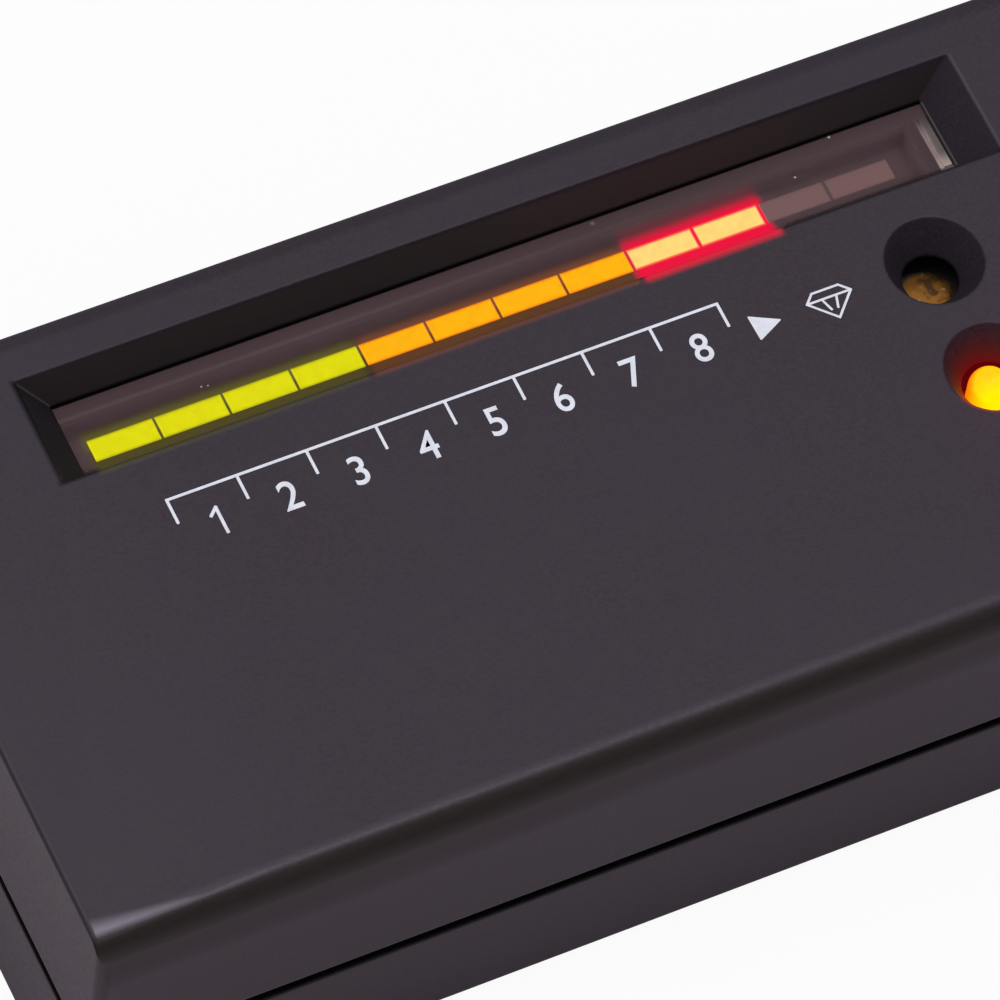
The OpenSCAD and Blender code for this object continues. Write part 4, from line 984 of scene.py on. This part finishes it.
class TESTER_OT_stage(bpy.types.Operator):
    """Adds the camera, the floor and the studio light"""

    bl_idname = "tester.stage"
    bl_label = "Stage"

    def execute(self, context):
        settings = context.scene.tester_stage
        self.camera(context)
        self.floor(settings)
        self.world(context, settings)
        self.lights(settings)
        context.scene.view_settings.view_transform = "Standard"
        return {"FINISHED"}

    def camera(self, context):
        """The photograph's view: a long lens from above the near tail corner."""
        azimuth = math.radians(-32.690)
        elevation = math.radians(58.838)
        roll = math.radians(8.923)
        spot = (-0.194647, -0.267011, 0.547307)
        back = Vector((
            math.sin(azimuth) * math.cos(elevation),
            -math.cos(azimuth) * math.cos(elevation),
            math.sin(elevation),
        ))
        level = Vector((math.cos(azimuth), math.sin(azimuth), 0.0))
        rise = back.cross(level)
        right = math.cos(roll) * level + math.sin(roll) * rise
        up = math.cos(roll) * rise - math.sin(roll) * level
        data = bpy.data.cameras.new("camera")
        data.sensor_width = 36.0
        data.lens = 328.45
        data.clip_start = 0.05
        data.clip_end = 20.0
        camera = bpy.data.objects.new("camera", data)
        context.scene.collection.objects.link(camera)
        turn = Matrix((right, up, back)).transposed().to_4x4()
        camera.matrix_world = Matrix.Translation(spot) @ turn
        context.scene.camera = camera

    def floor(self, settings):
        """White floor that keeps a soft shadow and can be seen through from below."""
        clear_selection()
        bpy.ops.mesh.primitive_plane_add(size=8.0, location=(0.0, 0.0, -0.00005))
        plane = bpy.context.active_object
        plane.name = "floor"
        bpy.ops.object.transform_apply(location=True, rotation=True, scale=True)
        material = bpy.data.materials.new("floor_white")
        tree = bare_tree(material)
        matte = put(tree, "ShaderNodeBsdfDiffuse", {"Color": rgba(settings.floor)}).outputs["BSDF"]
        bright = put(tree, "ShaderNodeEmission", {"Color": WHITE, "Strength": 1.0}).outputs["Emission"]
        clear = put(tree, "ShaderNodeBsdfTransparent").outputs["BSDF"]
        path = put(tree, "ShaderNodeLightPath").outputs
        seen = most(tree, path["Is Camera Ray"], path["Is Transmission Ray"])
        share = most(tree, times(tree, seen, 0.94), times(tree, path["Is Glossy Ray"], 0.08))
        upper = mix_shaders(tree, share, matte, bright)
        below = put(tree, "ShaderNodeNewGeometry").outputs["Backfacing"]
        put(tree, "ShaderNodeOutputMaterial", {"Surface": mix_shaders(tree, below, upper, clear)})
        plane.data.materials.append(material)

    def world(self, context, settings):
        """White behind the object, with a dimmer room on the camera's side for the reflections."""
        world = bpy.data.worlds.new("studio")
        context.scene.world = world
        tree = bare_tree(world)
        around = put(tree, "ShaderNodeTexCoord").outputs["Generated"]
        way = put(tree, "ShaderNodeSeparateXYZ", {"Vector": around}).outputs
        path = put(tree, "ShaderNodeLightPath").outputs
        side = smooth(tree, way["Y"], -0.35, 0.05, 0.0, 1.0)
        backdrop = smooth(tree, way["Z"], 0.06, 0.22, 0.25, 0.0)
        box = smooth(tree, way["Z"], 0.52, 0.80, 0.14, 1.15)
        zenith = smooth(tree, way["Z"], 0.86, 0.98, 0.0, 0.30)
        gloss = plus(tree, times(tree, side, plus(tree, box, zenith, backdrop)), 0.06)
        plain = self.background(tree, settings.room)
        mirrored = self.background(tree, gloss)
        white = self.background(tree, 1.0)
        shine = mix_shaders(tree, path["Is Glossy Ray"], plain, mirrored)
        seen = most(tree, path["Is Camera Ray"], path["Is Transmission Ray"])
        put(tree, "ShaderNodeOutputWorld", {"Surface": mix_shaders(tree, seen, shine, white)})

    def background(self, tree, strength):
        """White light from all round."""
        node = put(tree, "ShaderNodeBackground", {"Color": WHITE, "Strength": strength})
        return node.outputs["Background"]

    def lights(self, settings):
        """A small soft box that draws the edges' highlights, and a broad one that only fills."""
        self.soft_box("key_light", (0.14, -0.02, 0.70), 0.16, settings.key, (0.98, 0.97, 1.0))
        fill = self.soft_box("top_light", (-0.20, 0.15, 0.80), 0.6, settings.top, (1.0, 0.99, 0.99))
        fill.visible_glossy = False

    def soft_box(self, name, spot, size, power, colour):
        """A square lamp that looks at the middle of the frame."""
        data = bpy.data.lights.new(name, "AREA")
        data.shape = "SQUARE"
        data.size = size
        data.energy = power
        data.color = colour
        light = bpy.data.objects.new(name, data)
        bpy.context.scene.collection.objects.link(light)
        light.location = spot
        light.rotation_mode = "QUATERNION"
        light.rotation_quaternion = (-Vector(spot)).to_track_quat("-Z", "Y")
        light.visible_camera = False
        return light


class TESTER_OT_case(bpy.types.Operator):
    """Finishes the two halves of the case and the battery door"""

    bl_idname = "tester.case"
    bl_label = "Case"

    def execute(self, context):
        settings = context.scene.tester_case
        colour = tuple(settings.colour)
        upper = moulded_plastic("upper_case_plastic", colour, settings, upper=True)
        dress("upper_case", upper)
        lower = moulded_plastic("lower_case_plastic", scaled(colour, 0.96), settings, ledge=GROOVE_LEDGE)
        dress("lower_case", lower)
        dress("battery_door", moulded_plastic("door_plastic", scaled(colour, 1.04), settings))
        return {"FINISHED"}


class TESTER_OT_window(bpy.types.Operator):
    """Finishes the smoked window and its tape"""

    bl_idname = "tester.window"
    bl_label = "Window"

    def execute(self, context):
        dress("display_window", smoked_window("window_smoke"))
        dress("window_tape", clear_tape("window_tape"))
        return {"FINISHED"}


class TESTER_OT_lamp_bar(bpy.types.Operator):
    """Lights the bar lamps and finishes their holder"""

    bl_idname = "tester.lamp_bar"
    bl_label = "Lamp bar"

    def execute(self, context):
        lamps = context.scene.tester_lamps
        power = lamps.strength
        green = tuple(lamps.green)
        amber = tuple(lamps.amber)
        red = tuple(lamps.red)
        dress("led_holder", lamp_holder("lamp_holder", lamps))
        dress("green_leds", bar_lamp("green_lens", green, power, lamps, scaled(green, 0.72)))
        dress("amber_leds", bar_lamp("amber_lens", amber, power, lamps, (1.0, 0.26, 0.0)))
        lens = bar_lamp("red_lens", red, power, lamps, (1.0, 0.10, 0.06), LIT_RED_END)
        dress("red_leds", lens)
        return {"FINISHED"}


class TESTER_OT_ready_lamp(bpy.types.Operator):
    """Lights the ready lamp and finishes the tube that it stands on"""

    bl_idname = "tester.ready_lamp"
    bl_label = "Ready lamp"

    def execute(self, context):
        dress("ready_lamp", ready_lens("ready_lens", context.scene.tester_lamps.ready))
        dress("lamp_spacer", plain_finish("lamp_spacer", (0.72, 0.70, 0.64), 0.45, 0.0004))
        return {"FINISHED"}


class TESTER_OT_sounder(bpy.types.Operator):
    """Finishes the sounder's disc, its ceramic layer and its leads"""

    bl_idname = "tester.sounder"
    bl_label = "Sounder"

    def execute(self, context):
        dress("sounder_disc", self.disc())
        ceramic = plain_finish("sounder_ceramic", (0.78, 0.74, 0.66), 0.6, 0.0003)
        dress("sounder_ceramic", ceramic)
        self.leads()
        return {"FINISHED"}

    def disc(self):
        """Golden brown brass with dark stains and pale flecks of painted highlight, and painted shade outside
        the throat.
        """
        material, tree, shader = start_material("sounder_brass")
        low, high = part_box("sounder_disc")
        middle = (low + high) / 2
        # Painted shade: the disc dark and dull outside the throat, where the case shades it
        border = step(tree, from_upright(tree, middle.x, middle.y), 0.00188, 0.00025)
        ahead = fit(tree, axes(tree)[0], middle.x - 0.0006, middle.x + 0.0004, 0.2, 1.0)
        stain = times(tree, fit(tree, noise(tree, 1250.0), 0.47, 0.60, 0.0, 0.85), ahead)
        # Painted highlights: pale flecks on the brass
        pale_marks = fit(tree, noise(tree, 2100.0, 1.0), 0.62, 0.72, 0.0, 0.6)
        grain = noise(tree, 5200.0)
        gold = (0.25, 0.108, 0.020)
        set_inputs(tree, shader, {
            "Base Color": layered(tree, blend(tree, pale_marks, gold, (0.55, 0.42, 0.30)), (
                (stain, (0.055, 0.026, 0.012)),
                (border, (0.012, 0.010, 0.009)),
            )),
            "Metallic": fit(tree, border, 0.0, 1.0, 0.9, 0.0),
            "Roughness": fit(tree, grain, 0.3, 0.7, 0.34, 0.50),
        })
        bump(tree, shader, grain, 0.000005, 0.6)
        return material

    def leads(self):
        """Two thin leads from the disc and from its ceramic down to the board."""
        diameter = 0.0008
        low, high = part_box("sounder_disc")
        middle = (low + high) / 2
        ceramic_low, ceramic_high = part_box("sounder_ceramic")
        rim_y = middle.y + (high.y - low.y + ceramic_high.y - ceramic_low.y) / 4
        routes = []
        for y, top, drop in ((rim_y, low.z, 0.0010), (middle.y, ceramic_low.z, 0.0012)):
            routes.append([
                (middle.x, y, top),
                (middle.x, y, low.z - drop),
                (middle.x + 0.0005, y, low.z - drop - 0.0012),
                (middle.x + 0.0010, y, low.z - drop - 0.0024),
                (middle.x + 0.0012, y, BOARD_HIGH.z + 0.0014),
                (middle.x + 0.0012, y, BOARD_HIGH.z),
            ])
        vinyl = plain_finish("sounder_vinyl", (0.48, 0.03, 0.03), 0.45, 0.0005)
        wire_piece("sounder_wires", routes, diameter, vinyl, "case", "sounder_leads")


class TESTER_OT_board(bpy.types.Operator):
    """Finishes the circuit board and the parts on it"""

    bl_idname = "tester.board"
    bl_label = "Circuit board"

    def execute(self, context):
        dress("main_board", self.board_mask())
        steel = metal("board_steel", (0.62, 0.62, 0.64), (0.25, 0.25, 0.26), 0.25, (1.0, 1.0, 0.1), 0.3)
        dress("board_screws", steel)
        chip = (0.028, 0.028, 0.030)
        parts = (
            ("driver_chip", "driver_chip_resin", chip, 0.55, 0.0003, "chip_black"),
            ("amplifier_chip", "amplifier_chip_resin", chip, 0.55, 0.0003, "chip_black"),
            ("pot_body", "pot_resin", (0.035, 0.035, 0.038), 0.5, 0.0003, "chip_black"),
            ("capacitors", "can_sleeve", (0.04, 0.05, 0.12), 0.3, 0.0006, "can_blue"),
            ("trimmers", "trimmer_case", (0.08, 0.20, 0.50), 0.35, 0.0005, "trimmer_blue"),
            ("resistors", "resistor_lacquer", (0.58, 0.44, 0.27), 0.4, 0.0006, "resistor_tan"),
        )
        for node, name, colour, rough, grain, slot in parts:
            dress(node, plain_finish(name, colour, rough, grain))
        return {"FINISHED"}

    def board_mask(self):
        """Green lacquer, with the ready lamp's red light on it."""
        material = plain_finish("board_mask", (0.05, 0.20, 0.10), 0.35, 0.0009)
        tree = material.node_tree
        shader = next(node for node in tree.nodes if node.type == "BSDF_PRINCIPLED")
        radius = from_upright(tree, LAMP_MID.x + 0.0026, LAMP_MID.y + 0.0062)
        set_inputs(tree, shader, {
            "Emission Color": (1.0, 0.0, 0.02, 1.0),
            "Emission Strength": smooth(tree, radius, 0.0015, 0.0050, 0.10, 0.0),
        })
        return material


class TESTER_OT_wheel(bpy.types.Operator):
    """Finishes the thumbwheel, its shaft and its screw"""

    bl_idname = "tester.wheel"
    bl_label = "Thumbwheel"

    def execute(self, context):
        settings = context.scene.tester_case
        dress("thumbwheel", moulded_plastic("wheel_plastic", (0.026, 0.025, 0.027), settings))
        shaft = metal("shaft_steel", (0.64, 0.64, 0.66), (0.26, 0.26, 0.27), 0.24, (1.0, 1.0, 0.1), 0.25)
        dress("pot_shaft", shaft)
        dress("wheel_screw", shaft)
        return {"FINISHED"}


class TESTER_OT_battery(bpy.types.Operator):
    """Finishes the battery, its snap connector and its leads"""

    bl_idname = "tester.battery"
    bl_label = "Battery"

    def execute(self, context):
        drawn = (0.1, 1.0, 1.0)
        jacket = metal("battery_jacket", (0.20, 0.20, 0.215), (0.09, 0.09, 0.10), 0.36, drawn, 0.4)
        dress("battery", jacket)
        plated = metal("terminal_plate", (0.66, 0.65, 0.63), (0.28, 0.27, 0.25), 0.26, drawn, 0.3)
        dress("battery_terminals", plated)
        dress("snap_contacts", plated)
        soft = plain_finish("snap_vinyl", (0.02, 0.02, 0.021), 0.5, 0.0006, 0.00002)
        dress("battery_snap", soft)
        red = plain_finish("red_vinyl", (0.48, 0.02, 0.02), 0.42, 0.0006)
        black = plain_finish("black_vinyl", (0.016, 0.016, 0.017), 0.42, 0.0006)
        self.lead("red_lead", "battery_lead_red", red, "lead_red")
        self.lead("black_lead", "battery_lead_black", black, "lead_black")
        return {"FINISHED"}

    def lead(self, name, node, material, slot):
        """One lead from the snap connector, under the board and up into it."""
        diameter = 0.0013
        low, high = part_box(node)
        y = (low.y + high.y) / 2
        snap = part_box("battery_snap")[1].x
        middle = (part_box("battery")[0].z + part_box("battery")[1].z) / 2
        wall = snap + 0.0026
        route = (
            (snap, middle - 0.00105), (snap + 0.001, middle - 0.00105), (wall, middle - 0.00165),
            (wall + 0.0013, middle - 0.00205), (wall + 0.0033, BOARD_LOW.z - 0.00465),
            (wall + 0.0054, BOARD_LOW.z - 0.00445), (wall + 0.0072, BOARD_LOW.z - 0.00365),
            (wall + 0.0082, BOARD_LOW.z - 0.00245), (wall + 0.0084, BOARD_LOW.z - 0.00125),
            (wall + 0.0084, BOARD_LOW.z),
        )
        points = [(x, y, z) for x, z in route]
        wire_piece(name, [points], diameter, material, "case", node)


class TESTER_OT_screws(bpy.types.Operator):
    """Finishes the case screws"""

    bl_idname = "tester.screws"
    bl_label = "Case screws"

    def execute(self, context):
        zinc = metal("screw_zinc", (0.60, 0.60, 0.62), (0.22, 0.22, 0.23), 0.28, (1.0, 1.0, 0.1), 0.35)
        dress("case_screws", zinc)
        return {"FINISHED"}


class TESTER_OT_probe(bpy.types.Operator):
    """Finishes the nose, the probe, its spring and its leads"""

    bl_idname = "tester.probe"
    bl_label = "Nose and probe"

    def execute(self, context):
        settings = context.scene.tester_case
        dress("nose_cone", moulded_plastic("nose_plastic", (0.030, 0.028, 0.031), settings))
        turned = (1.0, 0.08, 0.08)
        steel = metal("probe_steel", (0.66, 0.66, 0.68), (0.34, 0.34, 0.35), 0.2, turned, 0.25)
        dress("probe_sleeve", steel)
        copper = metal("probe_copper", (0.78, 0.38, 0.22), (0.34, 0.15, 0.09), 0.24, turned, 0.45)
        dress("probe_tip", copper)
        brass = metal("plunger_brass", (0.70, 0.50, 0.22), (0.35, 0.22, 0.08), 0.26, turned, 0.3)
        dress("probe_plunger", brass)
        dress("heater", plain_finish("heater_ceramic", (0.80, 0.78, 0.73), 0.6, 0.0003))
        dress("spring_plug", plain_finish("plug_nylon", (0.70, 0.68, 0.63), 0.45, 0.0004))
        self.spring(steel)
        self.leads()
        return {"FINISHED"}

    def spring(self, steel):
        """Wound spring in place of the probe's spring solid."""
        turns = 5
        steps = 28
        wire = 0.0006
        radius = 0.0023
        low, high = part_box("probe_spring")
        start = low.x + wire / 2
        rise = high.x - low.x - wire
        points = []
        for number in range(turns * steps + 1):
            angle = 2 * math.pi * number / steps
            along = start + rise * number / (turns * steps)
            points.append((along, radius * math.cos(angle), PROBE_MID.z + radius * math.sin(angle)))
        piece = wire_piece("spring_coil", [points], wire, steel, "case", "probe_spring")
        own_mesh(piece)

    def leads(self):
        """Two thin leads from the board to the heater."""
        diameter = 0.0008
        side_y = 0.0006
        route = (
            (0.0589, 0.0114), (0.0539, 0.0114), (0.0519, 0.0114), (0.0497, 0.0114), (0.0481, 0.0112),
            (0.0460, 0.0108), (0.0440, 0.0110), (0.0426, 0.0117), (0.0422, 0.0124), (0.0422, 0.01345),
        )
        routes = []
        for side in (-side_y, side_y):
            routes.append([(x, side, z) for x, z in route])
        vinyl = plain_finish("yellow_vinyl", (0.62, 0.48, 0.05), 0.42, 0.0005)
        piece = wire_piece("probe_wires", routes, diameter, vinyl, "case", "probe_leads")
        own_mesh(piece)


class TESTER_OT_scale(bpy.types.Operator):
    """Prints the scale's line and its ticks"""

    bl_idname = "tester.scale"
    bl_label = "Scale"

    def execute(self, context):
        settings = context.scene.tester_print
        start_x = -0.04516
        line_y = 0.00647
        divisions = 8
        end_x = start_x + divisions * settings.pitch
        strokes = [((start_x, line_y), (end_x, line_y))]
        for number in range(divisions + 1):
            x = start_x + number * settings.pitch
            strokes.append(((x, line_y), (x, line_y - settings.tick)))
        printed_strokes("scale_print", strokes, settings.line, settings.proud, ink_of(context.scene))
        return {"FINISHED"}


class TESTER_OT_numbers(bpy.types.Operator):
    """Prints the numbers under the scale"""

    bl_idname = "tester.numbers"
    bl_label = "Numbers"

    def execute(self, context):
        settings = context.scene.tester_print
        middle_y = 0.00372
        places = (-0.04264, -0.0374, -0.03232, -0.02724, -0.0222, -0.01724, -0.01198, -0.00684)
        self.one(context, Vector((places[0], middle_y)), settings)
        for number, x in enumerate(places[1:], start=2):
            self.numeral(context, str(number), Vector((x, middle_y, 0.0)), settings)
        return {"FINISHED"}

    def one(self, context, middle, settings):
        """The number 1: a stem with a short flag."""
        stroke = 1.1 * settings.line
        reach = (settings.numeral - stroke) / 2
        stem = middle.x + 0.00028
        flag = 0.00054
        strokes = [
            ((stem, middle.y - reach), (stem, middle.y + reach)),
            ((stem, middle.y + reach), (stem - flag, middle.y + 0.50 * reach)),
        ]
        printed_strokes("number_1", strokes, stroke, settings.proud, ink_of(context.scene))

    def numeral(self, context, digit, middle, settings):
        """One number from the built-in letters, fattened a little and made narrower."""
        narrow = 0.92
        clear_selection()
        bpy.ops.object.text_add()
        piece = context.active_object
        piece.name = "number_" + digit
        piece.data.body = digit
        piece.data.size = 0.01
        piece.data.resolution_u = 6
        piece.data.offset = 0.00009
        piece.data.extrude = 0.7 * settings.proud
        bpy.ops.object.convert(target="MESH")
        piece = context.active_object
        low = Vector((min(v.co[k] for v in piece.data.vertices) for k in range(3)))
        high = Vector((max(v.co[k] for v in piece.data.vertices) for k in range(3)))
        size = settings.numeral / (high.y - low.y)
        piece.scale = (narrow * size, size, 1.0)
        centre = (low + high) / 2
        lift = TOP_Z + 0.3 * settings.proud
        piece.location = (middle.x - narrow * size * centre.x, middle.y - size * centre.y, lift)
        bpy.ops.object.transform_apply(location=True, rotation=True, scale=True)
        finish_print(piece, ink_of(context.scene))


class TESTER_OT_signs(bpy.types.Operator):
    """Prints the pointer and the cut-stone sign after the scale"""

    bl_idname = "tester.signs"
    bl_label = "Signs"

    def execute(self, context):
        settings = context.scene.tester_print
        self.pointer(context, settings)
        table_y = 0.00474
        girdle_y = 0.00407
        culet = (0.00297, 0.00234)
        left = (0.00131, girdle_y)
        right = (0.00463, girdle_y)
        half_table = 0.0010
        table_left = (culet[0] - half_table, table_y)
        table_right = (culet[0] + half_table, table_y)
        low_y = culet[1] + 0.45 * (girdle_y - culet[1])
        strokes = [
            (table_left, table_right),
            (table_left, left),
            (table_right, right),
            (left, right),
            (left, culet),
            (right, culet),
        ]
        for side in (-half_table, half_table):
            strokes.append(((culet[0] + 0.55 * side, girdle_y), (culet[0] + 0.25 * side, low_y)))
        printed_strokes("stone_print", strokes, 0.8 * settings.line, settings.proud, ink_of(context.scene))
        return {"FINISHED"}

    def pointer(self, context, settings):
        """Solid triangle that points along the scale."""
        clear_selection()
        corners = (Vector((-0.0029, 0.00479)), Vector((-0.00284, 0.00269)), Vector((-0.0008, 0.00369)))
        sunk = INK_SUNK * settings.proud
        mid_z = TOP_Z + (settings.proud - sunk) / 2
        bpy.ops.mesh.primitive_cylinder_add(
            vertices=3, radius=0.001, depth=settings.proud + sunk, location=(0.0, 0.0, mid_z)
        )
        piece = context.active_object
        piece.name = "pointer_print"
        bpy.ops.object.transform_apply(location=True, rotation=True, scale=True)
        bpy.ops.object.mode_set(mode="EDIT")
        mesh = bmesh.from_edit_mesh(piece.data)
        centre = sum(corners, Vector((0.0, 0.0))) / 3
        for vert in mesh.verts:
            spread = Vector((vert.co.x, vert.co.y))
            nearest = max(corners, key=lambda corner: spread.dot((corner - centre).normalized()))
            vert.co.x = nearest.x
            vert.co.y = nearest.y
        bmesh.update_edit_mesh(piece.data)
        bpy.ops.mesh.select_all(action="SELECT")
        keep_upright_edges(piece)
        bpy.ops.mesh.bevel(offset=0.00012, segments=3, affect="EDGES")
        bpy.ops.mesh.select_all(action="SELECT")
        bpy.ops.mesh.normals_make_consistent(inside=False)
        bpy.ops.object.mode_set(mode="OBJECT")
        finish_print(piece, ink_of(context.scene))


class TESTER_PT_panel(bpy.types.Panel):
    """Lists the steps that finish the tester"""

    bl_idname = "TESTER_PT_panel"
    bl_label = "Gemstone tester"
    bl_space_type = "VIEW_3D"
    bl_region_type = "UI"
    bl_category = "Tester"

    def draw(self, context):
        for operator in OPERATORS:
            self.layout.operator(operator.bl_idname)


SETTINGS = (
    ("tester_case", TesterCaseSettings),
    ("tester_lamps", TesterLampSettings),
    ("tester_print", TesterPrintSettings),
    ("tester_stage", TesterStageSettings),
)
OPERATORS = (
    TESTER_OT_stage,
    TESTER_OT_case,
    TESTER_OT_window,
    TESTER_OT_lamp_bar,
    TESTER_OT_ready_lamp,
    TESTER_OT_sounder,
    TESTER_OT_board,
    TESTER_OT_wheel,
    TESTER_OT_battery,
    TESTER_OT_screws,
    TESTER_OT_probe,
    TESTER_OT_scale,
    TESTER_OT_numbers,
    TESTER_OT_signs,
)


def register():
    for name, group in SETTINGS:
        bpy.utils.register_class(group)
        setattr(bpy.types.Scene, name, PointerProperty(type=group))
    for operator in OPERATORS:
        bpy.utils.register_class(operator)
    bpy.utils.register_class(TESTER_PT_panel)


def unregister():
    bpy.utils.unregister_class(TESTER_PT_panel)
    for operator in reversed(OPERATORS):
        bpy.utils.unregister_class(operator)
    for name, group in reversed(SETTINGS):
        delattr(bpy.types.Scene, name)
        bpy.utils.unregister_class(group)


def main():
    register()
    bpy.ops.tester.stage()
    bpy.ops.tester.case()
    bpy.ops.tester.window()
    bpy.ops.tester.lamp_bar()
    bpy.ops.tester.ready_lamp()
    bpy.ops.tester.sounder()
    bpy.ops.tester.board()
    bpy.ops.tester.wheel()
    bpy.ops.tester.battery()
    bpy.ops.tester.screws()
    bpy.ops.tester.probe()
    bpy.ops.tester.scale()
    bpy.ops.tester.numbers()
    bpy.ops.tester.signs()


if __name__ == "__main__":
    main()
